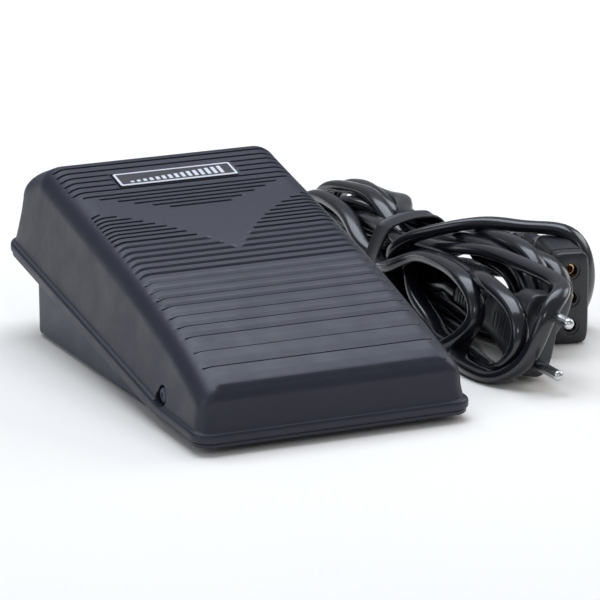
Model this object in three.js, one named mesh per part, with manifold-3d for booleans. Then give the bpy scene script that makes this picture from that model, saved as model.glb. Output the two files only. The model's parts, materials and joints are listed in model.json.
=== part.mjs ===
// Electronic foot control of a sewing machine: a wedge-shaped treadle hinged over a box-shaped base
// that holds the speed control, with its twin lead tied in a hank beside it.
// Millimetres. +Z up, +X right, +Y towards the high end, which the foot presses.
// The origin is on the floor under the middle of the treadle.
import * as THREE from 'three';
import { mergeVertices } from 'three/addons/utils/BufferGeometryUtils.js';
import Module from 'manifold-3d';

const wasm = await Module();
wasm.setup();

// ---------------------------------------------------------------- driving dimensions
const GAP = 0.3;                    // clearance kept between touching pieces
const HALF_W = 50;                  // half the treadle's width, over its flange
const HALF_L = 86.4;                // half the treadle's length, over its flange
const FLANGE = { out: 1.6, height: 5, front: 2.5, kinkY: -52, kink: 3.7, rear: 27.7, corner: 6.5 };
const WALL_LEAN = 0.13;             // how far the treadle's walls lean in, per millimetre of height
const FRONT_LEAN = 1.3;             // the same in all, on the front wall and on the rear wall
const REAR_LEAN = 3.6;
const SHELL = 1.8;                  // wall thickness of the treadle
const CROWN = { mid: 47.55, slope: 0.2365, bend: -0.0005, twist: 5.8e-6 };
const BROW = { y: 61.8, blend: 4, fall: 0.38 };       // where the crown rolls off at the high end
const FILLET = { side: 9, front: 4.5, rear: 5 };
const STATIONS = [-66, -48, -30, -12, 6, 24, 42, 54, 60, 64, 68];     // cross-sections of the treadle
const RIB = { halfWidth: 40.8, width: 1.1, depth: 0.8 };
const PIVOT = { y: -52.5, z: 11.8, pinR: 2.8, holeR: 3.6 };
const KEY = { along: 2.9, drop: 1.3, r: 2.0 };        // tail of the key-shaped opening behind each pivot
const PUSHER = { halfW: 7, thick: 2.4, lift: 0.5 };   // rib under the treadle that bears on the plunger
const STIFFENER = { x: 24, thick: 1.8, y0: -40, y1: 26 };
const TRAY = { halfW: 44.8, draft: 0.008, front: -81.2, rear: 72.5, bottom: 1.2, floor: 2.2 };
const SHOULDER = { z0: 4.9, slope: 0.148 };           // where the tray's wall steps in to its neck
const NECK = { in: 1.5, wall: 2 };
const COVER = { z0: 7, slope: 0.217, thick: 2 };      // top face: z0 at TRAY.front, rising rearwards
const PLUNGER = {
  y: 30, headR: 6, headH: 2, stemR: 4.2, top: 43, collarR: 7, collarZ: 24.8, bottom: 18, boreR: 3,
};
const GUIDE = { clear: 0.6, wall: 2, high: 1.2 };     // collar round the plunger's hole in the cover
const PCB = { x0: -36, x1: 36, y0: -26, y1: 19, z: 7.7, thick: 1.6 };
const LEAD = { w: 6.3, t: 4.4 };                      // flat twin lead
const EXIT = { x: 22, z: 7 };                         // where the lead leaves the base's rear wall
const RELIEF_L = 28;
const HANK = { low: 0.3, high: 38.5 };
const TIE = { x: 97, y: 60, z: 19.5, r: 14.2, width: 9, thick: 1 };
const CONNECTOR = { x: 121, y: -20.3, turn: 0.2, w: 13, d: 30, h: 33, low: 0.3 };
const PLUG = { x: 90.2, y: -55, z: 15.9, tilt: 0.2, w: 14, h: 29, d: 33, pinR: 2, pinL: 19, pinGap: 18.2 };

// ---------------------------------------------------------------- colours
const finish = (color, roughness, metalness = 0) => ({ color, roughness, metalness });
const SHELL_BLACK = finish(0x34343c, 0.5);
const BASE_BLACK = finish(0x3a3c44, 0.55);
const LEAD_BLACK = finish(0x1c1c22, 0.22);
const RUBBER = finish(0x222226, 0.85);
const STEEL = finish(0xb8bcc2, 0.3, 1);
const BRASS = finish(0xc8a050, 0.35, 1);
const BOARD = finish(0x8a6a3a, 0.6);
const NYLON = finish(0xd8d6cc, 0.45);

// ---------------------------------------------------------------- geometry helpers
const root = new THREE.Group();

function toManifold(geometry) {
  const bare = geometry.clone();
  for (const name of Object.keys(bare.attributes)) {
    if (name !== 'position') bare.deleteAttribute(name);
  }
  const merged = mergeVertices(bare, 1e-4);
  const mesh = new wasm.Mesh({
    numProp: 3,
    vertProperties: new Float32Array(merged.attributes.position.array),
    triVerts: new Uint32Array(merged.index.array),
  });
  return new wasm.Manifold(mesh);
}

function toGeometry(solid) {
  const mesh = solid.getMesh();
  const geometry = new THREE.BufferGeometry();
  geometry.setAttribute('position', new THREE.BufferAttribute(new Float32Array(mesh.vertProperties), 3));
  geometry.setIndex(new THREE.BufferAttribute(new Uint32Array(mesh.triVerts), 1));
  geometry.computeVertexNormals();
  return geometry;
}

function cut(body, ...tools) {
  return toGeometry(tools.reduce((rest, tool) => rest.subtract(toManifold(tool)), toManifold(body)));
}

function join(body, ...more) {
  return toGeometry(more.reduce((whole, piece) => whole.add(toManifold(piece)), toManifold(body)));
}

function add(name, geometry, material) {
  const mesh = new THREE.Mesh(geometry, new THREE.MeshStandardMaterial(material));
  mesh.name = name;
  root.add(mesh);
  return mesh;
}

function block(x0, x1, y0, y1, z0, z1) {
  const box = new THREE.BoxGeometry(x1 - x0, y1 - y0, z1 - z0);
  return box.translate((x0 + x1) / 2, (y0 + y1) / 2, (z0 + z1) / 2);
}

// a cylinder from z0 to z1 on a vertical axis
function post(r, z0, z1, x = 0, y = 0, sides = 16) {
  const rod = new THREE.CylinderGeometry(r, r, z1 - z0, sides);
  return rod.rotateX(Math.PI / 2).translate(x, y, (z0 + z1) / 2);
}

// a cylinder from x0 to x1 on an axis parallel to X
function axle(r, x0, x1, y, z, sides = 18) {
  const rod = new THREE.CylinderGeometry(r, r, x1 - x0, sides);
  return rod.rotateZ(Math.PI / 2).translate((x0 + x1) / 2, y, z);
}

// a turned piece from a closed profile of [radius, height] points
function turned(profile, sides = 24) {
  const points = profile.map(([r, z]) => new THREE.Vector2(r, z));
  return new THREE.LatheGeometry(points, sides).rotateX(Math.PI / 2);
}

function roundedShape(w, h, r) {
  const s = new THREE.Shape();
  s.moveTo(-w / 2 + r, -h / 2);
  s.lineTo(w / 2 - r, -h / 2);
  s.absarc(w / 2 - r, -h / 2 + r, r, -Math.PI / 2, 0);
  s.lineTo(w / 2, h / 2 - r);
  s.absarc(w / 2 - r, h / 2 - r, r, 0, Math.PI / 2);
  s.lineTo(-w / 2 + r, h / 2);
  s.absarc(-w / 2 + r, h / 2 - r, r, Math.PI / 2, Math.PI);
  s.lineTo(-w / 2, -h / 2 + r);
  s.absarc(-w / 2 + r, -h / 2 + r, r, Math.PI, 1.5 * Math.PI);
  return s;
}

const extrude = (shape, depth, curveSegments = 4) =>
  new THREE.ExtrudeGeometry(shape, { depth, bevelEnabled: false, curveSegments });

// a closed solid through rings that all have the same number of points, capped by strips that join
// each point to its mirror point across X = 0
function skin(rings) {
  const n = rings[0].length;
  const flat = rings.flat();
  const triangles = [];
  for (let k = 0; k + 1 < rings.length; k += 1) {
    for (let i = 0; i < n; i += 1) {
      const a = k * n + i;
      const b = k * n + (i + 1) % n;
      triangles.push(a, b, b + n, a, b + n, a + n);
    }
  }
  const cap = (start, up) => {
    for (let i = 0; i < n / 2 - 1; i += 1) {
      const [r0, r1] = [start + i, start + i + 1];
      const [l0, l1] = [start + n - 1 - i, start + n - 2 - i];
      if (up) triangles.push(r0, r1, l1, r0, l1, l0);
      else triangles.push(r0, l1, r1, r0, l0, l1);
    }
  };
  cap(0, false);
  cap((rings.length - 1) * n, true);
  const geometry = new THREE.BufferGeometry();
  geometry.setAttribute('position', new THREE.Float32BufferAttribute(flat.flat(), 3));
  geometry.setIndex(triangles);
  return geometry;
}

// half of a rounded outline from the front middle round the right side to the rear middle, then its
// mirror image back: [x, y] points
function outline(halfWidth, front, rear, corner, steps = 4, stations = []) {
  const half = [[halfWidth * 0.02, front]];
  for (let i = 0; i <= steps; i += 1) {
    const a = (i / steps) * Math.PI / 2;
    half.push([halfWidth - corner + corner * Math.sin(a), front + corner - corner * Math.cos(a)]);
  }
  for (const y of stations) half.push([halfWidth, y]);
  for (let i = 0; i <= steps; i += 1) {
    const a = (i / steps) * Math.PI / 2;
    half.push([halfWidth - corner + corner * Math.cos(a), rear - corner + corner * Math.sin(a)]);
  }
  half.push([halfWidth * 0.02, rear]);
  return [...half, ...half.map(([x, y]) => [-x, y]).reverse()];
}

// ---------------------------------------------------------------- the treadle's form
const crown = y => CROWN.mid + CROWN.slope * y + CROWN.bend * y * y + CROWN.twist * y ** 3;

// height of the top along the middle, from the front wall to the rear wall
function profile(y, front, rear) {
  let z = crown(Math.min(y, BROW.y));
  const past = y - BROW.y;
  if (past > 0) {
    const rise = CROWN.slope + 2 * CROWN.bend * BROW.y + 3 * CROWN.twist * BROW.y ** 2;
    const t = Math.min(past, BROW.blend);
    z += rise * t - (rise + BROW.fall) / (2 * BROW.blend) * t * t - BROW.fall * (past - t);
  }
  const round = (r, depth) => r - Math.sqrt(Math.max(0, r * r - Math.max(0, depth) ** 2));
  return z - round(FILLET.front, front + FILLET.front - y) - round(FILLET.rear, y - rear + FILLET.rear);
}

// underside of the flange: nearly level to the kink, then rising to the rear
function flangeLow(y) {
  const { front, kink, kinkY, rear } = FLANGE;
  if (y < kinkY) return front + (kink - front) * (y + HALF_L) / (kinkY + HALF_L);
  return kink + (rear - kink) * (y - kinkY) / (HALF_L - kinkY);
}

// the treadle's skin, moved in by a thickness
function treadleRings(inset, bottom, withFlange) {
  const front = -HALF_L + FLANGE.out;
  const rear = HALF_L - FLANGE.out;
  const half = HALF_W - FLANGE.out;
  const [topFront, topRear] = [front + FRONT_LEAN, rear - REAR_LEAN];
  const rings = [];
  const level = (halfW, y0, y1, corner, z) => {
    rings.push(outline(halfW, y0, y1, corner, 4, STATIONS).map(([x, y]) => [x, y, z(y)]));
  };
  const low = y => flangeLow(y) + bottom;
  const step = y => flangeLow(y) + FLANGE.height;
  if (withFlange) {
    level(HALF_W - 0.6, -HALF_L + 0.6, HALF_L - 0.6, FLANGE.corner - 0.6, low);
    level(HALF_W, -HALF_L, HALF_L, FLANGE.corner, y => low(y) + 0.6);
    level(HALF_W, -HALF_L, HALF_L, FLANGE.corner, y => step(y) - 0.5);
    level(HALF_W - 0.5, -HALF_L + 0.5, HALF_L - 0.5, FLANGE.corner - 0.5, step);
    level(half, front, rear, FLANGE.corner - 1, step);
  } else {
    level(half - inset, front + inset, rear - inset, FLANGE.corner - inset, low);
    level(half - inset, front + inset, rear - inset, FLANGE.corner - inset, step);
  }
  const turns = 5;
  for (let j = 0; j <= turns; j += 1) {
    const a = (j / turns) * Math.PI / 2;
    const roll = (r, d) => d * (1 - Math.cos(a)) * (r - inset) / r;
    const sideDrop = (FILLET.side - inset) * (1 - Math.sin(a));
    const y0 = topFront + inset + roll(FILLET.front, FILLET.front);
    const y1 = topRear - inset - roll(FILLET.rear, FILLET.rear);
    const corner = Math.max(1.2, FLANGE.corner - 1.5 - inset - 2.4 * (1 - Math.cos(a)));
    const points = outline(half - inset - roll(FILLET.side, FILLET.side), y0, y1, corner, 4, STATIONS);
    rings.push(points.map(([x, y]) => {
      const top = crown(y) - FILLET.side;
      const lean = WALL_LEAN * Math.max(0, Math.min(top, 52) - step(y));
      const side = Math.abs(x) / points[Math.floor(points.length / 4)][0];
      return [x - Math.sign(x) * lean * side, y, profile(y, topFront, topRear) - inset - sideDrop];
    }));
  }
  return rings;
}

const topFace = y => profile(y, -HALF_L + FLANGE.out + FRONT_LEAN, HALF_L - FLANGE.out - REAR_LEAN);

// cutter for a groove along a plan polyline, RIB.depth deep in the top face
function groove(points) {
  const vertices = [];
  const triangles = [];
  points.forEach(([x, y]) => {
    for (const [dy, lift] of [[-0.5, -1], [0.5, -1], [0.5, 1], [-0.5, 1]]) {
      const yy = y + dy * RIB.width;
      vertices.push(x, yy, lift < 0 ? topFace(yy) - RIB.depth : topFace(yy) + 2);
    }
  });
  const last = (points.length - 1) * 4;
  for (let s = 0; s < points.length - 1; s += 1) {
    for (let i = 0; i < 4; i += 1) {
      const a = s * 4 + i;
      const b = s * 4 + (i + 1) % 4;
      triangles.push(a, b, a + 4, b, b + 4, a + 4);
    }
  }
  triangles.push(0, 2, 1, 0, 3, 2, last, last + 1, last + 2, last, last + 2, last + 3);
  const geometry = new THREE.BufferGeometry();
  geometry.setAttribute('position', new THREE.Float32BufferAttribute(vertices, 3));
  geometry.setIndex(triangles);
  return geometry;
}

// where the cross grooves lie: a rear set, a front set, and the V-shaped band they leave smooth
const BADGE = { y: 48.7, w: 44.6, h: 9.4, thick: 1.1, sink: 0.8 };
const REAR_V = { apex: 20.7, slope: 0.478 };
const FRONT_V = { apex: -8.6, slope: 1.392, bend: 0.01284 };

// groove places, from the high end: each pair is how many and how far apart
function stations(first, runs) {
  const places = [first];
  for (const [count, pitch] of runs) {
    for (let i = 0; i < count; i += 1) places.push(places[places.length - 1] - pitch);
  }
  return places;
}
const REAR_GROOVES = stations(61, [[6, 3.65], [5, 2.6]]);
const FRONT_GROOVES = stations(25.9, [[7, 2.56], [1, 3.1], [6, 3.8], [4, 4.95], [3, 5.95], [2, 7.95],
  [1, 9.5]]);

const rearReach = y => (y - REAR_V.apex) / REAR_V.slope;
// the front V is a parabola in |x|: this is its half width at y
function frontReach(y) {
  const { apex, slope, bend } = FRONT_V;
  return y < apex ? 0 : (slope - Math.sqrt(Math.max(0, slope * slope - 4 * bend * (y - apex)))) / (2 * bend);
}

function grooveCutters() {
  const cutters = [];
  const run = (y, x0, x1) => cutters.push(groove([[x0, y], [x1, y]]));
  for (const y of REAR_GROOVES) {
    const reach = Math.min(RIB.halfWidth, rearReach(y));
    const nearBadge = Math.abs(y - BADGE.y) < BADGE.h / 2 + 1;
    if (nearBadge) {
      run(y, -reach, -BADGE.w / 2 - 1.5);
      run(y, BADGE.w / 2 + 1.5, reach);
    } else if (reach > 3) run(y, -reach, reach);
  }
  for (const y of FRONT_GROOVES) {
    const inner = frontReach(y);
    if (inner > 1.5) {
      run(y, -RIB.halfWidth, -inner);
      run(y, inner, RIB.halfWidth);
    } else run(y, -RIB.halfWidth, RIB.halfWidth);
  }
  return cutters;
}

// the badge lies in a shallow seat that follows the crown's slope at its middle
function onCrown(geometry, y, lift) {
  const tilt = Math.atan(topFace(y + 1) - topFace(y));
  return geometry.rotateX(tilt).translate(0, y, topFace(y) + lift);
}

function makeTreadle() {
  const outer = skin(treadleRings(0, 0, true));
  const inner = skin(treadleRings(SHELL, -3, false));
  const tools = [inner];
  for (const side of [-1, 1]) {
    const [x0, x1] = side < 0 ? [-55, -40] : [40, 55];
    tools.push(axle(PIVOT.holeR, x0, x1, PIVOT.y, PIVOT.z));
    tools.push(axle(KEY.r, x0, x1, PIVOT.y + KEY.along, PIVOT.z - KEY.drop, 16));
    const keyZ = PIVOT.z - KEY.drop;
    tools.push(block(x0, x1, PIVOT.y, PIVOT.y + KEY.along, keyZ - KEY.r, keyZ + 2));
  }
  const seat = extrude(roundedShape(BADGE.w + 0.8, BADGE.h + 0.8, 1.4), 6);
  tools.push(onCrown(seat, BADGE.y, -BADGE.sink));
  const shell = cut(outer, ...tools, ...grooveCutters());
  const ribTop = topFace(PLUNGER.y) - 1;
  const [reach, half, ribLow] = [PUSHER.halfW, PUSHER.thick / 2, PLUNGER.top + PUSHER.lift];
  const pusher = block(-reach, reach, PLUNGER.y - half, PLUNGER.y + half, ribLow, ribTop);
  const web = block(-half, half, PLUNGER.y - reach, PLUNGER.y + reach, ribLow, ribTop - 2);
  const stiffeners = [-STIFFENER.x, STIFFENER.x].map(x => block(x - STIFFENER.thick / 2,
    x + STIFFENER.thick / 2, STIFFENER.y0, STIFFENER.y1, 0, 60));
  const bars = stiffeners.map(bar => toManifold(bar)
    .intersect(toManifold(skin(treadleRings(SHELL - 0.5, -3, false))))
    .subtract(toManifold(skin(treadleRings(SHELL, -3, false)).translate(0, 0, -5))));
  const whole = bars.reduce((a, bar) => a.add(bar), toManifold(join(shell, pusher, web)));
  return toGeometry(whole);
}

// ---------------------------------------------------------------- the base
const coverTop = y => COVER.z0 + COVER.slope * (y - TRAY.front);

const shoulder = y => SHOULDER.z0 + SHOULDER.slope * (y - TRAY.front);

// a prism over the tray's plan moved in by a distance, with its top at topAt(y)
function trayBlock(inset, corner, low, topAt, draft = 0) {
  const plan = outline(TRAY.halfW - inset, TRAY.front + inset, TRAY.rear - inset, corner);
  const bottom = plan.map(([x, y]) => [x, y, low]);
  const top = plan.map(([x, y]) => [x + Math.sign(x) * draft * (topAt(y) - low), y, topAt(y)]);
  return skin([bottom, top]);
}

const SCREW_SPOTS = [[-27, -70], [27, -70], [-37, 50], [37, 50]];
const FOOT_SPOTS = { fl: [-37, -71], fr: [37, -71], rl: [-37, 63], rr: [37, 63] };
const PCB_SPOTS = [[-31, -20], [31, -20], [-31, 13]];
const CLAMP = { y: 60, halfGap: 9 };
const TRACK = { x0: 14.5, x1: 16, halfL: 5.7, top: 26 };             // board the wiper slides along
const PIN_HEAD = { x0: 38.4, x1: 40.5, r: 4.4 };
const EAR = { x0: 40.8, x1: 44.4, y0: -60, y1: -45, top: 17.5 };

function makeTray() {
  const { rear, bottom, floor } = TRAY;
  const low = trayBlock(0, 6.5, bottom, shoulder, TRAY.draft);
  const neck = trayBlock(NECK.in, 5, bottom + 1, y => coverTop(y) - COVER.thick - GAP);
  const inner = trayBlock(NECK.in + NECK.wall, 3.5, bottom + floor, y => coverTop(y) + 6);
  const pieces = [];
  const z0 = bottom + 1;
  for (const [x, y] of SCREW_SPOTS) pieces.push(post(4.4, z0, coverTop(y - 5) - COVER.thick - GAP, x, y));
  for (const [x, y] of PCB_SPOTS) pieces.push(post(3, z0, PCB.z - GAP, x, y));
  for (const side of [-1, 1]) {
    const xs = [side * EAR.x0, side * EAR.x1].sort((a, b) => a - b);
    pieces.push(block(xs[0], xs[1], EAR.y0, EAR.y1, z0, EAR.top));
    pieces.push(post(3.2, z0, 4.6, EXIT.x + side * CLAMP.halfGap, CLAMP.y));
    const rail = (TRACK.x0 + TRACK.x1) / 2 + side * 1.55;
    pieces.push(block(rail - 0.5, rail + 0.5, PLUNGER.y - 6, PLUNGER.y + 6, z0, 8));
  }
  pieces.push(post(PLUNGER.boreR - 0.4, z0, PLUNGER.bottom + 2, 0, PLUNGER.y));
  pieces.push(block(EXIT.x - 4, EXIT.x + 4, CLAMP.y - 3, CLAMP.y + 3, z0, EXIT.z - LEAD.t / 2 - GAP));
  const tools = [];
  for (const [x, y] of SCREW_SPOTS) {
    tools.push(post(3.4, 0, 4.2, x, y), post(1.7, 0, 40, x, y, 12));
  }
  for (const [x, y] of Object.values(FOOT_SPOTS)) tools.push(post(5.8, 0, bottom + 1, x, y));
  for (const [x, y] of PCB_SPOTS) tools.push(post(1.3, 4, 12, x, y, 12));
  for (const side of [-1, 1]) {
    tools.push(axle(PIVOT.pinR + GAP, side < 0 ? -50 : 40, side < 0 ? -40 : 50, PIVOT.y, PIVOT.z));
    tools.push(post(1.3, 3.4, 9, EXIT.x + side * CLAMP.halfGap, CLAMP.y, 12));
  }
  tools.push(block(EXIT.x - 4.3, EXIT.x + 4.3, rear - 4, rear + 4, EXIT.z - 3.3, EXIT.z + 3.3));
  return cut(join(cut(join(low, neck), inner), ...pieces), ...tools);
}

function makeCover() {
  const high = trayBlock(NECK.in, 5, 1, coverTop);
  const low = trayBlock(-1, 5, 0, y => coverTop(y) - COVER.thick);
  const tools = [low, post(PLUNGER.stemR + GUIDE.clear, 0, 60, 0, PLUNGER.y)];
  for (const [x, y] of SCREW_SPOTS) tools.push(post(1.7, 0, coverTop(y) - 0.7, x, y, 12));
  for (const side of [-1, 1]) {
    const xs = [side * (PIN_HEAD.x0 - GAP), side * 50].sort((a, b) => a - b);
    tools.push(block(xs[0], xs[1], EAR.y0 - GAP, EAR.y1 + GAP, 0, 60));
  }
  const collarLow = coverTop(PLUNGER.y) - 1.2;
  const collarR = PLUNGER.stemR + GUIDE.clear + GUIDE.wall;
  const collar = cut(post(collarR, collarLow, coverTop(PLUNGER.y) + GUIDE.high, 0, PLUNGER.y),
    post(PLUNGER.stemR + GUIDE.clear, 0, 60, 0, PLUNGER.y));
  return join(cut(high, ...tools), collar);
}

// ---------------------------------------------------------------- assembly: base and treadle
add('base_tray', makeTray(), BASE_BLACK);
add('base_cover', makeCover(), BASE_BLACK);
add('treadle', makeTreadle(), SHELL_BLACK);
add('badge', onCrown(extrude(roundedShape(BADGE.w, BADGE.h, 1), BADGE.thick - GAP), BADGE.y,
  -BADGE.sink + GAP), NYLON);

for (const [corner, [x, y]] of Object.entries(FOOT_SPOTS)) {
  add(`rubber_foot_${corner}`, post(5.5, 0, TRAY.bottom + 1 - GAP, x, y), RUBBER);
}

SCREW_SPOTS.forEach(([x, y], i) => {
  const head = post(3.1, 1.9, 3.9, x, y, 16);
  const slot = block(x - 2, x + 2, y - 0.4, y + 0.4, 0, 2.6);
  const shank = post(1.4, 3.5, coverTop(y) - 1.3, x, y, 12);
  add(`base_screw_${i + 1}`, join(cut(head, slot), shank), STEEL);
});

for (const [name, side] of [['left', -1], ['right', 1]]) {
  const span = (a, b) => [side * a, side * b].sort((p, q) => p - q);
  const pin = axle(PIVOT.pinR, ...span(40, 48), PIVOT.y, PIVOT.z);
  const head = axle(PIN_HEAD.r, ...span(PIN_HEAD.x0, PIN_HEAD.x1), PIVOT.y, PIVOT.z);
  add(`pivot_pin_${name}`, join(pin, head), BASE_BLACK);
}

// ---------------------------------------------------------------- assembly: speed control
const COLLAR_THICK = 1.8;
const SPIGOT_DEPTH = 13;            // how far the plunger's bore reaches up over the tray's guide post
const WIPER = { x0: 11.9, x1: 12.5, tip: 13.9, high: 6 };

function makePlunger() {
  const { y, headR, headH, stemR, top, collarR, collarZ, bottom, boreR } = PLUNGER;
  const under = collarZ - COLLAR_THICK;
  const body = turned([[0, bottom], [stemR, bottom], [stemR, under], [collarR, under], [collarR, collarZ],
    [stemR, collarZ], [stemR, top - headH], [headR, top - headH + 0.5], [headR, top - 0.8],
    [headR - 1, top], [0, top]]);
  const bore = post(boreR, bottom - 1, bottom + SPIGOT_DEPTH, 0, 0);
  const arm = block(collarR - 2, WIPER.x0 - GAP, -2.4, 2.4, under, collarZ);
  return cut(join(body, arm), bore).translate(0, y, 0);
}

add('plunger', makePlunger(), NYLON);
const wiperLow = PLUNGER.collarZ - WIPER.high;
add('wiper', join(block(WIPER.x0, WIPER.x1, PLUNGER.y - 2, PLUNGER.y + 2, wiperLow, PLUNGER.collarZ),
  block(WIPER.x1 - 0.1, WIPER.tip, PLUNGER.y - 0.8, PLUNGER.y + 0.8, wiperLow, wiperLow + 1)), BRASS);
add('track_board', block(TRACK.x0, TRACK.x1, PLUNGER.y - TRACK.halfL, PLUNGER.y + TRACK.halfL,
  TRAY.bottom + TRAY.floor + GAP, TRACK.top), BOARD);

class Coil extends THREE.Curve {
  constructor(r, z0, z1, turns) {
    super();
    Object.assign(this, { r, z0, z1, turns });
  }

  getPoint(t, target = new THREE.Vector3()) {
    const a = t * this.turns * 2 * Math.PI;
    return target.set(this.r * Math.cos(a), this.r * Math.sin(a), this.z0 + (this.z1 - this.z0) * t);
  }
}

function wire(curve, r, steps, quarters = 4) {
  const section = new THREE.Shape();
  section.absarc(0, 0, r, 0, 2 * Math.PI);
  return new THREE.ExtrudeGeometry(section, { steps, extrudePath: curve, curveSegments: quarters });
}

const SPRING = { r: 5.3, wire: 0.45, turns: 6 };
const springLow = TRAY.bottom + TRAY.floor + GAP + SPRING.wire;
const springHigh = PLUNGER.collarZ - COLLAR_THICK - GAP - SPRING.wire;
add('return_spring', wire(new Coil(SPRING.r, springLow, springHigh, SPRING.turns), SPRING.wire, 54, 3)
  .translate(0, PLUNGER.y, 0), STEEL);

const boardTop = PCB.z + PCB.thick;
add('pcb', cut(block(PCB.x0, PCB.x1, PCB.y0, PCB.y1, PCB.z, boardTop),
  ...PCB_SPOTS.map(([x, y]) => post(1.7, 0, 20, x, y, 12))), BOARD);
PCB_SPOTS.forEach(([x, y], i) => {
  const head = post(2.7, boardTop + GAP, boardTop + 1.9, x, y, 16);
  add(`pcb_screw_${i + 1}`, join(head, post(1, PCB.z - 2.6, boardTop + 1, x, y, 10)), STEEL);
});

const onBoard = boardTop + GAP;
const TRIAC = { x: -15, y: 11.2, w: 10, thick: 4.4, low: 3, high: 11, hole: 9, pitch: 2.5 };
const SINK = { y0: 13.7, y1: 15.2, halfW: 9, high: 13, fins: [-7, -3.4, 3.4, 7] };
add('triac', join(block(TRIAC.x - TRIAC.w / 2, TRIAC.x + TRIAC.w / 2, TRIAC.y - TRIAC.thick / 2,
  TRIAC.y + TRIAC.thick / 2, onBoard + TRIAC.low, onBoard + TRIAC.high),
...[-1, 0, 1].map(i => block(TRIAC.x + i * TRIAC.pitch - 0.4, TRIAC.x + i * TRIAC.pitch + 0.4, TRIAC.y - 0.4,
  TRIAC.y + 0.4, onBoard, onBoard + TRIAC.low + 1))), LEAD_BLACK);
add('heat_sink', cut(join(block(TRIAC.x - SINK.halfW, TRIAC.x + SINK.halfW, SINK.y0, SINK.y1, onBoard,
  onBoard + SINK.high), ...SINK.fins.map(x => block(TRIAC.x + x - 0.6, TRIAC.x + x + 0.6, SINK.y1 - 0.2,
  SINK.y1 + 3.4, onBoard, onBoard + SINK.high))), axle(1.7, 0, 8, 0, 0, 12).rotateZ(Math.PI / 2)
  .translate(TRIAC.x, TRIAC.y + 0.8, onBoard + TRIAC.hole)), finish(0x9a9da2, 0.4, 1));
add('triac_screw', join(axle(2.4, 0, 1.6, 0, 0, 16), axle(1.3, -1.4, 0.5, 0, 0, 12))
  .rotateZ(Math.PI / 2).translate(TRIAC.x, SINK.y1 + 0.4, onBoard + TRIAC.hole), STEEL);
add('film_capacitor', extrude(roundedShape(16, 8, 1.6), 11.5).translate(6, 8, onBoard),
  finish(0xb5342a, 0.35));
add('choke', turned([[3, onBoard], [8, onBoard], [8, onBoard + 5.6], [3, onBoard + 5.6], [3, onBoard]])
  .translate(-18, -6, 0), finish(0xa8662c, 0.4, 0.6));
for (const [i, x] of [2, 8].entries()) {
  add(`resistor_${i + 1}`, turned([[0, -4], [1.1, -4], [1.5, -3.4], [1.5, -2.6], [1.15, -2], [1.15, 2],
    [1.5, 2.6], [1.5, 3.4], [1.1, 4], [0, 4]], 12).rotateX(Math.PI / 2).translate(x, -12, onBoard + 1.6),
  finish(0xc8b28a, 0.5));
}
add('trimmer', join(block(18, 24, -15, -9, onBoard, onBoard + 3.4),
  post(1.8, onBoard + 3, onBoard + 4.2, 21, -12, 16)), finish(0x2c5aa8, 0.4));
const TERMINAL_X = [22.6, 30];
add('terminal_block', cut(block(19, 33.6, 4, 13, onBoard, onBoard + 9.5),
  ...TERMINAL_X.map(x => post(1.9, onBoard + 5, 40, x, 8, 12)),
  ...TERMINAL_X.map(x => block(x - 1.6, x + 1.6, 9, 15, onBoard + 1.5, onBoard + 4.6))), NYLON);
for (const [i, x] of TERMINAL_X.entries()) {
  add(`terminal_screw_${i + 1}`, cut(post(1.6, onBoard + 5.3, onBoard + 8.4, x, 8, 12),
    block(x - 2, x + 2, 7.7, 8.3, onBoard + 7.6, 40)), STEEL);
}

// ---------------------------------------------------------------- assembly: lead inside the base
const v = (x, y, z) => new THREE.Vector3(x, y, z);
const smooth = points => new THREE.CatmullRomCurve3(points.map(p => v(...p)), false, 'centripetal');

// the flat twin lead's section, w along Y and t along X, as an outline of eight sides
function flatSection(w = LEAD.w, t = LEAD.t) {
  const c = Math.min(w, t) * 0.32;
  const s = new THREE.Shape();
  s.moveTo(-t / 2, -w / 2 + c);
  s.lineTo(-t / 2 + c, -w / 2);
  s.lineTo(t / 2 - c, -w / 2);
  s.lineTo(t / 2, -w / 2 + c);
  s.lineTo(t / 2, w / 2 - c);
  s.lineTo(t / 2 - c, w / 2);
  s.lineTo(-t / 2 + c, w / 2);
  s.lineTo(-t / 2, w / 2 - c);
  s.closePath();
  return s;
}

add('lead_tail', extrude(flatSection(), 22.4).rotateZ(Math.PI / 2).rotateX(-Math.PI / 2)
  .translate(EXIT.x, 51, EXIT.z), LEAD_BLACK);
add('cord_clamp', block(EXIT.x - CLAMP.halfGap - 3.4, EXIT.x + CLAMP.halfGap + 3.4, CLAMP.y - 3, CLAMP.y + 3,
  EXIT.z + LEAD.t / 2 + GAP, EXIT.z + LEAD.t / 2 + 2.6), NYLON);
for (const [i, side] of [-1, 1].entries()) {
  const x = EXIT.x + side * CLAMP.halfGap;
  const low = EXIT.z + LEAD.t / 2 + 2.6 + GAP;
  add(`clamp_screw_${i + 1}`, post(2.6, low, low + 1.5, x, CLAMP.y), STEEL);
}
for (const [i, [name, tone]] of [['wire_brown', 0x5a3420], ['wire_blue', 0x2a4a90]].entries()) {
  const x = EXIT.x + (i - 0.5) * 2.9;
  const hole = TERMINAL_X[i];
  const path = smooth([[x, 50.6, EXIT.z], [x, 45, EXIT.z], [x + i * 2, 36, EXIT.z + 1.6],
    [hole, 26, EXIT.z + 5], [hole, 18, onBoard + 3], [hole, 10, onBoard + 3]]);
  add(name, wire(path, 1, 12), finish(tone, 0.4));
}

// ---------------------------------------------------------------- assembly: leads outside the base
// a tapered sleeve along +Y through [y, half width, half height] stations, faces out
function taper(stations, n = 16) {
  const ring = ([y, a, b]) => Array.from({ length: n }, (_, i) => {
    const t = Math.PI / 2 - (i + 0.5) / n * 2 * Math.PI;
    return [a * Math.cos(t), y, b * Math.sin(t)];
  });
  return skin(stations.map(ring));
}

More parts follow.
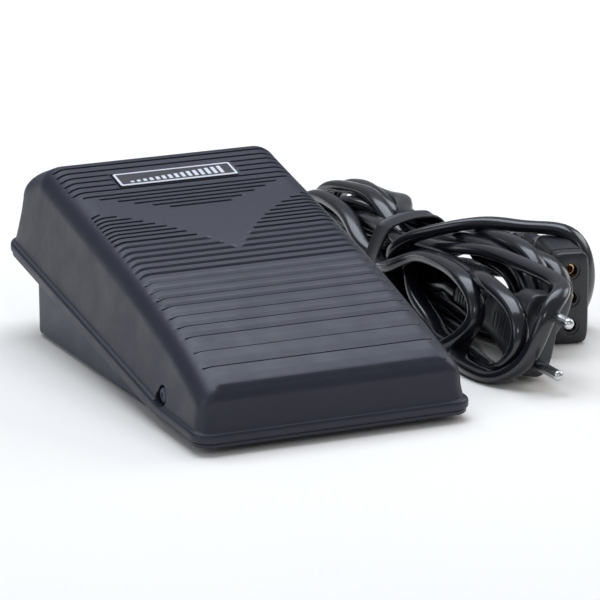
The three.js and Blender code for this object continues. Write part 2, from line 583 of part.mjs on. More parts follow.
const [tipW, tipH] = [LEAD.w / 2 + 0.5, LEAD.t / 2 + 0.5];
const WALL_END = TRAY.rear + 0.6;
const RELIEF_TIP = TRAY.rear + RELIEF_L;
const reliefBody = taper([[WALL_END, 5.2, 4.4], [WALL_END + 2, 5.2, 4.4], [WALL_END + 2.1, 4.6, 3.8],
  [WALL_END + 12, 4.2, 3.2], [RELIEF_TIP, tipW, tipH]]).translate(EXIT.x, 0, EXIT.z);
add('strain_relief', cut(join(reliefBody, block(EXIT.x - 4, EXIT.x + 4, TRAY.rear - 3.4, TRAY.rear + 1,
  EXIT.z - 3, EXIT.z + 3)), block(EXIT.x - LEAD.w / 2 - GAP, EXIT.x + LEAD.w / 2 + GAP, TRAY.rear - 5,
  TRAY.rear + 1.4, EXIT.z - LEAD.t / 2 - GAP, EXIT.z + LEAD.t / 2 + GAP)), RUBBER);

// the pedal's own lead, round the right rear corner to the hank
const LEAD_ROUTE = [[22, 100.9, 7], [22.4, 108, 6.2], [25, 117, 4.7], [31, 126, 3.4], [40, 132.5, 2.7],
  [51, 135, 2.5], [61, 133, 2.7], [69, 128, 3.6], [73.6, 124, 4.8]];
add('pedal_lead', new THREE.ExtrudeGeometry(flatSection(LEAD.t, LEAD.w), {
  steps: 14,
  extrudePath: smooth(LEAD_ROUTE),
}), LEAD_BLACK);

// a closed plan outline through points, as a shape
function rounded(points) {
  const curve = new THREE.CatmullRomCurve3(points.map(([x, y]) => v(x, y, 0)), true, 'catmullrom', 0.5);
  const edge = curve.getPoints(points.length * 3).slice(0, -1);
  return new THREE.Shape(edge.map(p => new THREE.Vector2(p.x, p.y)));
}

const FRONT_LOOPS = [[84, 50], [67, 34], [62, 0], [64, -38], [76, -60], [98, -62], [122, -48], [138, -24],
  [141, 4], [134, 30], [114, 50]];
const REAR_LOOPS = [[84, 70], [78, 92], [76, 114], [84, 132], [101, 138], [118, 131], [124, 112], [119, 90],
  [110, 70]];
const lobe = points => extrude(rounded(points), HANK.high - HANK.low, 1).translate(0, 0, HANK.low);

// placed in the connector's own frame: its face is at y = 0, its body runs along +Y
const seatConnector = geometry => geometry.rotateZ(-CONNECTOR.turn).translate(CONNECTOR.x, CONNECTOR.y, 0);
const seatPlug = geometry => geometry.rotateY(PLUG.tilt).translate(PLUG.x, PLUG.y, PLUG.z);
const CONTACT_Z = [6.8, 16.8, 26.8];
const LEAD_Z = [10, 24];
const CONNECTOR_TAIL = [[CONNECTOR.d + GAP, 4.6, 5.4], [CONNECTOR.d + 3, 4.6, 5.4],
  [CONNECTOR.d + 24, tipH, tipW]];
const PLUG_TAIL = [[PLUG.d + GAP, 5, 5.6], [PLUG.d + 3, 5, 5.6], [PLUG.d + 26, tipH, tipW]];
const grown = (stations, by) => stations.map(([y, a, b], i) => [y + (i ? by : -by), a + by, b + by]);

function connectorBody() {
  const side = roundedShape(CONNECTOR.w, CONNECTOR.h, 2.4);
  return extrude(side, CONNECTOR.d).rotateX(-Math.PI / 2).translate(0, 0, CONNECTOR.low + CONNECTOR.h / 2);
}

function plugBody() {
  const { w, h, d } = PLUG;
  const front = extrude(roundedShape(w, h, 5.5), 11).rotateX(-Math.PI / 2);
  const rear = taper([[10.5, w / 2 - 0.4, h / 2 - 0.6], [20, w / 2 - 1.2, h / 2 - 4.5], [d, 5.4, 7]], 24);
  return join(front, rear);
}

const bore = z => new THREE.CylinderGeometry(2.4, 2.4, 24, 16).translate(0, 8, z);
add('machine_connector', seatConnector(cut(connectorBody(), ...CONTACT_Z.map(bore))), LEAD_BLACK);
CONTACT_Z.forEach((z, i) => {
  const inside = new THREE.CylinderGeometry(1.45, 1.45, 20, 14).translate(0, -3, 0);
  const tube = cut(new THREE.CylinderGeometry(1.9, 1.9, 16, 14), inside);
  add(`contact_${i + 1}`, seatConnector(tube.translate(0, 11, z)), BRASS);
});
LEAD_Z.forEach((z, i) => {
  add(`connector_relief_${i + 1}`, seatConnector(taper(CONNECTOR_TAIL).translate(0, 0, z)), RUBBER);
});
add('mains_plug', seatPlug(plugBody()), LEAD_BLACK);
for (const [i, side] of [-1, 1].entries()) {
  const pin = turned([[0, 0], [PLUG.pinR, 0], [PLUG.pinR, PLUG.pinL - 1.4], [1.2, PLUG.pinL - 0.3],
    [0, PLUG.pinL]], 20).rotateX(Math.PI / 2).translate(0, -GAP, side * PLUG.pinGap / 2);
  add(`plug_pin_${i + 1}`, seatPlug(pin), STEEL);
}
add('plug_relief', seatPlug(taper(PLUG_TAIL)), RUBBER);

// the hank: an elongated coil, tied at its waist, with room left for the plug and the connector
function makeHank() {
  const waist = new THREE.CylinderGeometry(TIE.r - GAP, TIE.r - GAP, 30, 28).translate(TIE.x, TIE.y, TIE.z);
  const away = 60;
  const { w, h, d } = CONNECTOR;
  const tools = [
    seatConnector(block(-w / 2 - 0.4, w / 2 + 0.4, -away, d + 0.4, -5, h + 0.8)),
    ...LEAD_Z.map(z => seatConnector(taper(grown(CONNECTOR_TAIL, 0.4)).translate(0, 0, z))),
    seatPlug(block(-PLUG.w / 2 - 0.4, PLUG.w / 2 + 0.4, -away, PLUG.d + 0.2, -away, PLUG.h / 2 + 0.4)),
    seatPlug(taper(grown(PLUG_TAIL, 0.4))),
  ];
  return cut(join(lobe(FRONT_LOOPS), waist, lobe(REAR_LOOPS)), ...tools);
}

add('cord_hank', makeHank(), LEAD_BLACK);
const band = radius => new THREE.CylinderGeometry(radius, radius, TIE.width, 32);
const strap = cut(band(TIE.r + TIE.thick), band(TIE.r).scale(1, 2, 1));
add('cord_tie', strap.translate(TIE.x, TIE.y, TIE.z), RUBBER);

export default root;
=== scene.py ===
# Electronic foot control of a sewing machine, as it lies on a pale studio floor.
# Lengths in this script are millimetres until a mesh is made, which is when MM turns them into metres.
# +X right, +Y towards the high end of the treadle, +Z up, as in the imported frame.
import json
import math

import bmesh
import bpy
import numpy as np
from mathutils import Matrix, Vector

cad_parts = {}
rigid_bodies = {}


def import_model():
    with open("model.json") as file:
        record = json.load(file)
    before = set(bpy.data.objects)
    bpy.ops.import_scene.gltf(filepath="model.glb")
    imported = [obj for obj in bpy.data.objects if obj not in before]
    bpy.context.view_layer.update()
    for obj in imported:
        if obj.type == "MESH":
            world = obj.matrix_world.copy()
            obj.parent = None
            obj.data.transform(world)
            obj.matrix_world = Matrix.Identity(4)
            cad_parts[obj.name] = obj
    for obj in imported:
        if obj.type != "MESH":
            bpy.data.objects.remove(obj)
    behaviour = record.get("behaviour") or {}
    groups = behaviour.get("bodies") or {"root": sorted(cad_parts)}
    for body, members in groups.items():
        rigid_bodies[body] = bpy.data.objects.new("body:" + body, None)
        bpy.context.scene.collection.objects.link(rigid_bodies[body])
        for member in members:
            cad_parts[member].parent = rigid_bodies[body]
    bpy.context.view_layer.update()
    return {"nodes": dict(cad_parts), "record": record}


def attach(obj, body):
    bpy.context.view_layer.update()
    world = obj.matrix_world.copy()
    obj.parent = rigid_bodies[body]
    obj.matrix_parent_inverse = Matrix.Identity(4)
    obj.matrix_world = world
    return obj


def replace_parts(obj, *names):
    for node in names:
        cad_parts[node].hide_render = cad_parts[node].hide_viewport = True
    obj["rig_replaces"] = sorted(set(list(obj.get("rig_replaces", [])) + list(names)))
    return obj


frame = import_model()
MM = 0.001
NODE_SLOT = {row["node"]: row["material_slot"] for row in frame["record"]["subparts"]}

# ---------------------------------------------------------------- dimensions in mm
# They agree with the CAD model, except the grooves' depth and the tie's radius.
HALF_W, HALF_L = 50.0, 86.4
FLANGE = {"out": 1.6, "height": 5.0, "front": 2.5, "kink_y": -52.0, "kink": 3.7, "rear": 27.7, "corner": 6.5}
WALL_LEAN, FRONT_LEAN, REAR_LEAN = 0.13, 1.3, 3.6
SHELL = 1.8
CROWN = (47.55, 0.2365, -0.0005, 5.8e-6)
BROW = {"y": 61.8, "blend": 4.0, "fall": 0.38}
FILLET = {"side": 9.0, "front": 4.5, "rear": 5.0}
RIB = {"half_width": 40.8, "width": 1.1, "depth": 1.15}
BADGE = {"y": 48.7, "w": 44.6, "h": 9.4, "seat": 0.4, "sunk": 0.75}
REAR_V = {"apex": 20.7, "slope": 0.478}
FRONT_V = {"apex": -8.6, "slope": 1.392, "bend": 0.01284}
PIVOT = {"y": -52.5, "z": 11.8, "pin_r": 2.8, "hole_r": 3.6}
KEY = {"along": 2.9, "drop": 1.3, "r": 2.0}
PLUNGER_Y = 30.0
TRAY = {"half_w": 44.8, "draft": 0.008, "front": -81.2, "rear": 72.5, "bottom": 1.2, "floor": 2.2}
SHOULDER = {"z0": 4.9, "slope": 0.148}
NECK = {"in": 1.5, "wall": 2.0}
COVER = {"z0": 7.0, "slope": 0.217, "thick": 2.0}
EAR = {"x0": 40.8, "x1": 44.4, "y0": -60.0, "y1": -45.0, "top": 17.5}
LEAD_W, LEAD_T = 6.3, 4.4
EXIT = (22.0, 7.0)
TIE = {"x": 97.0, "y": 60.0, "z": 19.5, "r": 13.4, "width": 9.0, "thick": 1.0}
CONNECTOR = {"x": 121.0, "y": -20.3, "turn": 0.2, "w": 13.0, "d": 30.0, "h": 33.0, "low": 0.3}
PLUG = {"x": 90.2, "y": -55.0, "z": 15.9, "tilt": 0.2, "w": 14.0, "h": 29.0, "d": 33.0}
PIN = {"r": 2.0, "length": 19.0, "gap": 18.2}


def crown(y):
    a, b, c, d = CROWN
    return a + b * y + c * y * y + d * y ** 3


# height of the treadle's top along its middle
def top_line(y):
    past = max(0.0, y - BROW["y"])
    z = crown(min(y, BROW["y"]))
    rise = CROWN[1] + 2 * CROWN[2] * BROW["y"] + 3 * CROWN[3] * BROW["y"] ** 2
    t = min(past, BROW["blend"])
    return z + rise * t - (rise + BROW["fall"]) / (2 * BROW["blend"]) * t * t - BROW["fall"] * (past - t)


def flange_low(y):
    if y < FLANGE["kink_y"]:
        rise = (FLANGE["kink"] - FLANGE["front"]) / (FLANGE["kink_y"] + HALF_L)
        return FLANGE["front"] + rise * (y + HALF_L)
    rise = (FLANGE["rear"] - FLANGE["kink"]) / (HALF_L - FLANGE["kink_y"])
    return FLANGE["kink"] + rise * (y - FLANGE["kink_y"])


def ease(t):
    t = min(1.0, max(0.0, t))
    return t * t * (3 - 2 * t)


# ---------------------------------------------------------------- mesh helpers
def make_object(name, points, faces, sharp=math.radians(38)):
    mesh = bpy.data.meshes.new(name)
    mesh.from_pydata([tuple(p) for p in np.asarray(points, float) * MM], [], faces)
    mesh.validate()
    bm = bmesh.new()
    bm.from_mesh(mesh)
    bmesh.ops.remove_doubles(bm, verts=bm.verts, dist=1e-6)
    bmesh.ops.recalc_face_normals(bm, faces=bm.faces)
    bm.to_mesh(mesh)
    bm.free()
    piece = bpy.data.objects.new(name, mesh)
    bpy.context.scene.collection.objects.link(piece)
    smooth(piece, sharp)
    return piece


def smooth(piece, sharp=math.radians(38)):
    mesh = piece.data
    mesh.polygons.foreach_set("use_smooth", np.ones(len(mesh.polygons), bool))
    mesh.set_sharp_from_angle(angle=sharp)
    mesh.update()


# quads between rings of equally many points; the ends close on a fan of their own middle point
def skin_rings(rings, close_start=True, close_end=True):
    rings = [np.asarray(r, float) for r in rings]
    n = len(rings[0])
    points = list(np.vstack(rings))
    faces = []
    for k in range(len(rings) - 1):
        for i in range(n):
            j = (i + 1) % n
            faces.append((k * n + i, k * n + j, (k + 1) * n + j, (k + 1) * n + i))
    for wanted, start in ((close_start, 0), (close_end, (len(rings) - 1) * n)):
        if wanted:
            points.append(np.mean(points[start:start + n], axis=0))
            hub = len(points) - 1
            faces += [(start + i, start + (i + 1) % n, hub) for i in range(n)]
    return np.array(points), faces


def superellipse(half_a, half_b, power, count):
    t = np.linspace(0, 2 * np.pi, count, endpoint=False)
    c, s = np.cos(t), np.sin(t)
    return np.stack([half_a * np.sign(c) * np.abs(c) ** (2 / power),
                     half_b * np.sign(s) * np.abs(s) ** (2 / power)], 1)


# a solid along +Y through [y, half width, half height, power] stations
def loft(stations, count=48):
    rings = []
    for y, a, b, power in stations:
        section = superellipse(a, b, power, count)
        rings.append(np.stack([section[:, 0], np.full(count, y), section[:, 1]], 1))
    return skin_rings(rings)


def stations_between(keys, step):
    keys = np.array(keys, float)
    out = []
    for a, b in zip(keys[:-1], keys[1:]):
        n = max(1, int(round((b[0] - a[0]) / step)))
        out += [a + (b - a) * i / n for i in range(n)]
    return out + [keys[-1]]


def cylinder(radius, low, high, centre, axis="Z", count=48, bevel=0.2):
    profile = [(radius - bevel, low), (radius, low + bevel), (radius, high - bevel), (radius - bevel, high)]
    rings = []
    for r, h in profile:
        ring = superellipse(r, r, 2, count)
        flat = np.full(count, h)
        order = {"Z": (ring[:, 0], ring[:, 1], flat), "Y": (ring[:, 0], flat, ring[:, 1]),
                 "X": (flat, ring[:, 0], ring[:, 1])}[axis]
        rings.append(np.stack(order, 1) + np.array(centre, float))
    return skin_rings(rings)


def merge(*parts):
    points, faces = [], []
    for p, f in parts:
        start = sum(len(q) for q in points)
        points.append(np.asarray(p))
        faces += [tuple(i + start for i in face) for face in f]
    return np.vstack(points), faces


def carve(piece, cutter_points, cutter_faces, sharp=math.radians(38)):
    cutter = make_object("cutter", cutter_points, cutter_faces)
    change = piece.modifiers.new("carve", "BOOLEAN")
    change.operation = "DIFFERENCE"
    change.solver = "EXACT"
    change.object = cutter
    graph = bpy.context.evaluated_depsgraph_get()
    mesh = bpy.data.meshes.new_from_object(piece.evaluated_get(graph))
    piece.modifiers.clear()
    piece.data = mesh
    bpy.data.objects.remove(cutter)
    smooth(piece, sharp)


def place(points, matrix):
    points = np.asarray(points, float)
    m = np.array(matrix)
    return points @ m[:3, :3].T + m[:3, 3]


CONNECTOR_SEAT = (Matrix.Translation((CONNECTOR["x"], CONNECTOR["y"], 0))
                  @ Matrix.Rotation(-CONNECTOR["turn"], 4, "Z"))
PLUG_SEAT = (Matrix.Translation((PLUG["x"], PLUG["y"], PLUG["z"]))
             @ Matrix.Rotation(PLUG["tilt"], 4, "Y"))


def settle(piece, body, slot_name, *nodes):
    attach(piece, body)
    if nodes:
        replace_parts(piece, *nodes)
    piece.data.materials.clear()
    piece.data.materials.append(MATERIALS[slot_name])
    return piece


# ---------------------------------------------------------------- materials
class Nodes:
    """A principled material with short calls for its node tree."""

    def __init__(self, name):
        self.material = bpy.data.materials.new(name)
        self.material.use_nodes = True
        self.tree = self.material.node_tree
        self.shader = self.tree.nodes["Principled BSDF"]
        self.coords = self.tree.nodes.new("ShaderNodeTexCoord")

    def noise(self, scale, detail=3.0, rough=0.5, stretch=None):
        node = self.tree.nodes.new("ShaderNodeTexNoise")
        node.inputs["Scale"].default_value = scale
        node.inputs["Detail"].default_value = detail
        node.inputs["Roughness"].default_value = rough
        source = self.coords.outputs["Object"]
        if stretch:
            mapping = self.tree.nodes.new("ShaderNodeMapping")
            mapping.inputs["Scale"].default_value = stretch
            self.tree.links.new(source, mapping.inputs["Vector"])
            source = mapping.outputs["Vector"]
        self.tree.links.new(source, node.inputs["Vector"])
        return node.outputs["Fac"]

    def voronoi(self, scale):
        node = self.tree.nodes.new("ShaderNodeTexVoronoi")
        node.inputs["Scale"].default_value = scale
        self.tree.links.new(self.coords.outputs["Object"], node.inputs["Vector"])
        return node.outputs["Distance"]

    def ramp(self, value, stops):
        node = self.tree.nodes.new("ShaderNodeValToRGB")
        ramp = node.color_ramp
        for i, (place_at, color) in enumerate(stops):
            stop = ramp.elements[i] if i < 2 else ramp.elements.new(place_at)
            stop.position = place_at
            stop.color = (*color, 1.0) if len(color) == 3 else color
        self.tree.links.new(value, node.inputs["Fac"])
        return node.outputs["Color"]

    def span(self, value, low, high, from_low=0.3, from_high=0.7):
        node = self.tree.nodes.new("ShaderNodeMapRange")
        node.inputs["From Min"].default_value = from_low
        node.inputs["From Max"].default_value = from_high
        node.inputs["To Min"].default_value = low
        node.inputs["To Max"].default_value = high
        self.tree.links.new(value, node.inputs["Value"])
        return node.outputs["Result"]

    def mix(self, a, b, factor, blend="MIX"):
        node = self.tree.nodes.new("ShaderNodeMix")
        node.data_type = "RGBA"
        node.blend_type = blend
        for socket, value in ((node.inputs["Factor"], factor), (node.inputs["A"], a), (node.inputs["B"], b)):
            if isinstance(value, bpy.types.NodeSocket):
                self.tree.links.new(value, socket)
            else:
                socket.default_value = value
        return node.outputs["Result"]

    def bump(self, *layers):
        normal = None
        for height, strength, distance in layers:
            node = self.tree.nodes.new("ShaderNodeBump")
            node.inputs["Strength"].default_value = strength
            node.inputs["Distance"].default_value = distance
            self.tree.links.new(height, node.inputs["Height"])
            if normal is not None:
                self.tree.links.new(normal, node.inputs["Normal"])
            normal = node.outputs["Normal"]
        self.tree.links.new(normal, self.shader.inputs["Normal"])

    def drive(self, socket, value):
        self.tree.links.new(value, self.shader.inputs[socket])

    def fix(self, **values):
        for socket, value in values.items():
            self.shader.inputs[socket.replace("_", " ")].default_value = value


def tint(color, factor):
    return tuple(min(1.0, c * factor) for c in color)


# moulded plastic: spark-eroded grain, faint flow clouds and rubbed, slightly greyer patches
def moulded_plastic(name, color, rough=(0.38, 0.5), grain=0.12, specular=0.5):
    m = Nodes(name)
    cloud = m.noise(28, 4, 0.6)
    fine = m.noise(2600, 2, 0.7)
    rubbed = m.noise(95, 5, 0.65)
    base = m.ramp(cloud, [(0.3, tint(color, 0.93)), (0.7, tint(color, 1.08))])
    worn = m.ramp(rubbed, [(0.55, (0, 0, 0)), (0.78, (0.16, 0.16, 0.17))])
    m.drive("Base Color", m.mix(base, (*tint(color, 1.5), 1.0), worn))
    m.drive("Roughness", m.span(rubbed, *rough))
    m.bump((fine, grain, 0.00004), (m.voronoi(1500), grain * 0.6, 0.00003))
    m.fix(Specular_IOR_Level=specular)
    return m.material


# glossy or satin PVC jacket with a slight orange-peel and dust in patches
def pvc(name, color, rough=(0.16, 0.3), coat=0.35, grain=0.08):
    m = Nodes(name)
    cloud = m.noise(60, 4, 0.6)
    dust = m.noise(420, 4, 0.7)
    base = m.ramp(cloud, [(0.3, tint(color, 0.85)), (0.7, tint(color, 1.2))])
    speck = m.ramp(dust, [(0.62, (0, 0, 0)), (0.85, (0.1, 0.1, 0.1))])
    m.drive("Base Color", m.mix(base, (0.10, 0.10, 0.11, 1.0), speck))
    m.drive("Roughness", m.span(cloud, *rough))
    m.bump((m.noise(170, 2, 0.5), grain, 0.0004), (m.noise(1500, 2, 0.5), grain, 0.00005))
    m.fix(Coat_Weight=coat, Coat_Roughness=0.12, Specular_IOR_Level=0.5)
    return m.material


def metal(name, color, rough=(0.16, 0.3), scratch=(1, 30, 1), scale=900):
    m = Nodes(name)
    line = m.noise(scale, 4, 0.6, stretch=scratch)
    m.drive("Base Color", m.ramp(m.noise(300, 3), [(0.3, tint(color, 0.88)), (0.7, tint(color, 1.05))]))
    m.drive("Roughness", m.span(line, *rough))
    m.bump((line, 0.08, 0.00003))
    m.fix(Metallic=1.0)
    return m.material


def circuit_board(name, color):
    m = Nodes(name)
    fibres = m.noise(1400, 3, 0.6, stretch=(1, 9, 1))
    m.drive("Base Color", m.ramp(fibres, [(0.3, tint(color, 0.8)), (0.7, tint(color, 1.15))]))
    m.drive("Roughness", m.span(fibres, 0.45, 0.62))
    m.bump((fibres, 0.1, 0.00005))
    return m.material


PALE_GREY = (0.72, 0.73, 0.78)
MATERIALS = {
    "treadle_plastic": moulded_plastic("treadle_plastic", (0.0120, 0.0128, 0.0270)),
    "base_plastic": moulded_plastic("base_plastic", (0.031, 0.036, 0.056), (0.42, 0.55)),
    "badge_plate": moulded_plastic("badge_plate", (0.030, 0.030, 0.036), (0.3, 0.4), 0.05),
    "badge_print": moulded_plastic("badge_print", PALE_GREY, (0.3, 0.42), 0.05),
    "cord_pvc": pvc("cord_pvc", (0.008, 0.008, 0.013)),
    "plug_pvc": pvc("plug_pvc", (0.014, 0.014, 0.019), (0.34, 0.46), 0.1, 0.12),
    "soft_pvc": pvc("soft_pvc", (0.017, 0.017, 0.023), (0.36, 0.5), 0.05, 0.12),
    "foot_rubber": moulded_plastic("foot_rubber", (0.018, 0.018, 0.020), (0.75, 0.9), 0.3, 0.3),
    "steel": metal("steel", (0.62, 0.62, 0.64)),
    "brass": metal("brass", (0.72, 0.50, 0.22)),
    "white_nylon": moulded_plastic("white_nylon", (0.68, 0.67, 0.62), (0.35, 0.5), 0.06),
    "circuit_board": circuit_board("circuit_board", (0.32, 0.20, 0.08)),
    "aluminium": metal("aluminium", (0.60, 0.61, 0.62), (0.3, 0.42), (1, 1, 20)),
    "capacitor_red": pvc("capacitor_red", (0.42, 0.04, 0.03), (0.18, 0.28), 0.4, 0.05),
    "copper_winding": metal("copper_winding", (0.60, 0.26, 0.10), (0.25, 0.4), (1, 1, 60), 500),
    "resistor_tan": moulded_plastic("resistor_tan", (0.50, 0.38, 0.22), (0.3, 0.42), 0.05),
    "trimmer_blue": moulded_plastic("trimmer_blue", (0.04, 0.11, 0.40), (0.3, 0.42), 0.05),
    "wire_brown": pvc("wire_brown", (0.13, 0.045, 0.02), (0.25, 0.38), 0.2, 0.05),
    "wire_blue": pvc("wire_blue", (0.02, 0.07, 0.32), (0.25, 0.38), 0.2, 0.05),
}

# ---------------------------------------------------------------- camera
VIEW_TURN, VIEW_TILT = math.radians(-24.5893), math.radians(15.7637)
VIEW_BACK = Vector((math.sin(VIEW_TURN) * math.cos(VIEW_TILT),
                    -math.cos(VIEW_TURN) * math.cos(VIEW_TILT), math.sin(VIEW_TILT)))
VIEW_RIGHT = Vector((math.cos(VIEW_TURN), math.sin(VIEW_TURN), 0))
VIEW_UP = VIEW_BACK.cross(VIEW_RIGHT)


def make_camera():
    data = bpy.data.cameras.new("camera")
    data.sensor_width = 36
    data.lens = 252.23
    data.clip_start = 0.05
    camera = bpy.data.objects.new("camera", data)
    spot = Vector((0, 0, 0.025)) + VIEW_BACK * 1.44168 + VIEW_RIGHT * 0.02344 + VIEW_UP * 0.0003
    axes = Matrix((VIEW_RIGHT, VIEW_UP, VIEW_BACK)).transposed().to_4x4()
    camera.matrix_world = Matrix.Translation(spot) @ axes
    bpy.context.scene.collection.objects.link(camera)
    bpy.context.scene.camera = camera


make_camera()

# ---------------------------------------------------------------- cords: the way they are wound
# The uncoiled stretch from the pedal's strain relief to the hank, as in the CAD model.
LEAD_ROUTE = [[22, 100.9, 7], [22.4, 108, 6.2], [25, 117, 4.7], [31, 126, 3.4], [40, 132.5, 2.7],
              [51, 135, 2.5], [61, 133, 2.7], [69, 128, 3.6], [73.6, 124, 4.8]]
# Each turn of the hank folds over at its two ends. A fold is the plan place of its far end, its top
# and foot heights, how far the foot lies from the top in plan, and points its lower run passes.
FRONT_FOLDS = {
    "over": (134.5, -10, 38, 5, (3, 5), [(139.5, 8, 3.2), (138.5, 26, 3.5)]),
    "near": (82, -33, 32, 4, (-6, 6), []),
    "low": (84, -62, 31, 4, (-7, 5), [(76, -40, 3)]),
    "middle": (102, -30, 36, 6, (0, 4), []),
    "far": (107, -30, 38, 8, (2, 4), []),
    "right": (116, -36, 35, 5, (-10, 6), []),
    "plug": (101, -68, 37, 6, (-25, 6), [(73, -38, 3)]),
    "inner": (107, -14, 28, 5, (-2, 4), []),
}
REAR_FOLDS = [(86, 131, 31, 4, (-3, 2), []), (94, 135, 33, 4, (0, 0), []), (102, 136, 32, 4, (0, 0), []),
              (110, 133, 30, 4, (4, 0), []), (84, 124, 26, 4, (-2, 0), []), (105, 126, 30, 4, (2, 0), []),
              (97, 123, 29, 4, (0, 0), []), (114, 126, 26, 4, (3, -2), []), (90, 118, 29, 4, (0, 0), [])]
# where the outermost loop rises in front of the bundle
CROSSING = [(86, 46, 23), (88.5, 37.5, 32), (96, 27, 38), (105, 18.5, 39.5)]
NODE_STEP = 4.0                     # distance between the nodes of a cord as it settles
HALF_WIDE, HALF_THIN = 3.2, 2.2     # half the flat lead's section, with a little air on the wide side
TIE_SLOTS = 19                      # runs of lead that the tie holds
SETTLE_STEPS = 270
CALM_STEPS = 30                     # at the end the leads only straighten and keep clear
BOOT_NODES = 8                      # nodes at each end of a lead that lie in or near its own boot
LOOSE_NODES = 5                     # how many nodes it takes a lead to become free beyond a held one
SMOOTHING = (0.6, -0.63) * 12
CORNER = 3.5                        # how round a lead takes the corners of the boxes
CLEAR = 2.3                         # how far a lead's middle line keeps from boxes and boots
NEIGHBOUR = 10.5                    # nodes nearer than this are tested for touching
SAG = 0.05                          # how far the leads drop in each step
PEDAL_GAP = 4.5                     # how far the leads beside the pedal keep from it
TIE_POINT = np.array([TIE["x"], TIE["y"], TIE["z"]])


def at_connector(x, y, z):
    return np.array(CONNECTOR_SEAT @ Vector((x, y, z)))


# the places of the runs inside the tie, spread like the seeds of a sunflower
def tie_slot(k):
    r = TIE["r"] * 0.92 * math.sqrt((k + 0.5) / TIE_SLOTS)
    a = k * math.radians(137.508)
    return TIE_POINT + np.array([r * math.cos(a), 0, r * math.sin(a)])


# one fold of the hank: out from the tie along the top, over, and back near the floor
def fold(upper, lower, spec, lead_in=()):
    x, y, top, low, (shift_x, shift_y), via = spec
    r = (top - low) / 2
    ahead = np.array([x - upper[0], y - upper[1], 0.0])
    reach = np.linalg.norm(ahead)
    ahead /= reach
    points = [np.array(q, float) for q in lead_in]
    for i in range(4 if lead_in else 1, 5):
        s = (reach - r) * i / 4 * 0.96
        p = upper + ahead * s
        p[2] = upper[2] + (top - upper[2]) * ease(s / (0.6 * (reach - r)))
        points.append(p)
    centre = np.array([x, y, (top + low) / 2]) - ahead * r
    for a in np.radians([72, 36, 0, -36, -72]):
        part = (1 - math.sin(a)) / 2
        points.append(centre + ahead * r * math.cos(a) + [shift_x * part, shift_y * part, r * math.sin(a)])
    foot = np.array([x + shift_x, y + shift_y, low]) - ahead * r
    for q in via:
        foot = np.array(q, float)
        points.append(foot)
    back = lower - foot
    for i in range(4):
        t = (i + (0.8 if via else 0.4)) / 4.8
        p = foot + back * t
        p[2] = foot[2] + back[2] * ease((t - 0.35) / 0.65)
        points.append(p)
    return points


# control points of both leads: the one to the pedal, then the one to the mains plug
def wind_hank():
    slots = sorted((tie_slot(k) for k in range(TIE_SLOTS)), key=lambda p: p[2])
    lows, highs = slots[:9], slots[9:]

    def take(x, wanted, other):
        pool = wanted or other
        best = min(range(len(pool)), key=lambda i: abs(pool[i][0] - x))
        return pool.pop(best)

    pedal = [np.array(p, float) for p in [*LEAD_ROUTE, (77.5, 116, 6.0), (81.0, 104, 8.0)]]
    run = take(86, lows, highs)
    pedal.append(run)
    for front, rear in (("near", 0), ("inner", 8), ("middle", 1), ("far", 2)):
        upper = take(FRONT_FOLDS[front][0], highs, lows)
        pedal += fold(upper, run, FRONT_FOLDS[front])[::-1] + [upper]
        run = take(REAR_FOLDS[rear][0], lows, highs)
        pedal += fold(upper, run, REAR_FOLDS[rear]) + [run]
    pedal += [at_connector(0.5, CONNECTOR_TIP + 13, LEAD_Z[0]), at_connector(0, CONNECTOR_TIP, LEAD_Z[0])]

    mains = [at_connector(0, CONNECTOR_TIP, LEAD_Z[1]), at_connector(-1, CONNECTOR_TIP + 12, LEAD_Z[1])]
    upper = take(108, highs, lows)
    mains.append(upper)
    for front, rear in (("over", 3), ("right", 5), ("plug", 7), ("low", 4)):
        run = take(REAR_FOLDS[rear][0], lows, highs)
        mains += fold(upper, run, REAR_FOLDS[rear]) + [run]
        crosses = front == "over"
        upper = take(86, lows, highs) if crosses else take(FRONT_FOLDS[front][0], highs, lows)
        mains += fold(upper, run, FRONT_FOLDS[front], CROSSING if crosses else ())[::-1] + [upper]
    run = take(REAR_FOLDS[6][0], lows, highs)
    mains += fold(upper, run, REAR_FOLDS[6]) + [run]
    tail = np.array([PLUG["x"], PLUG["y"], PLUG["z"]])
    mains += [tail + [1.8, 91, 1.1], tail + [0.4, 73, 1.1], tail + [0, PLUG_TIP, 0]]
    return pedal, mains


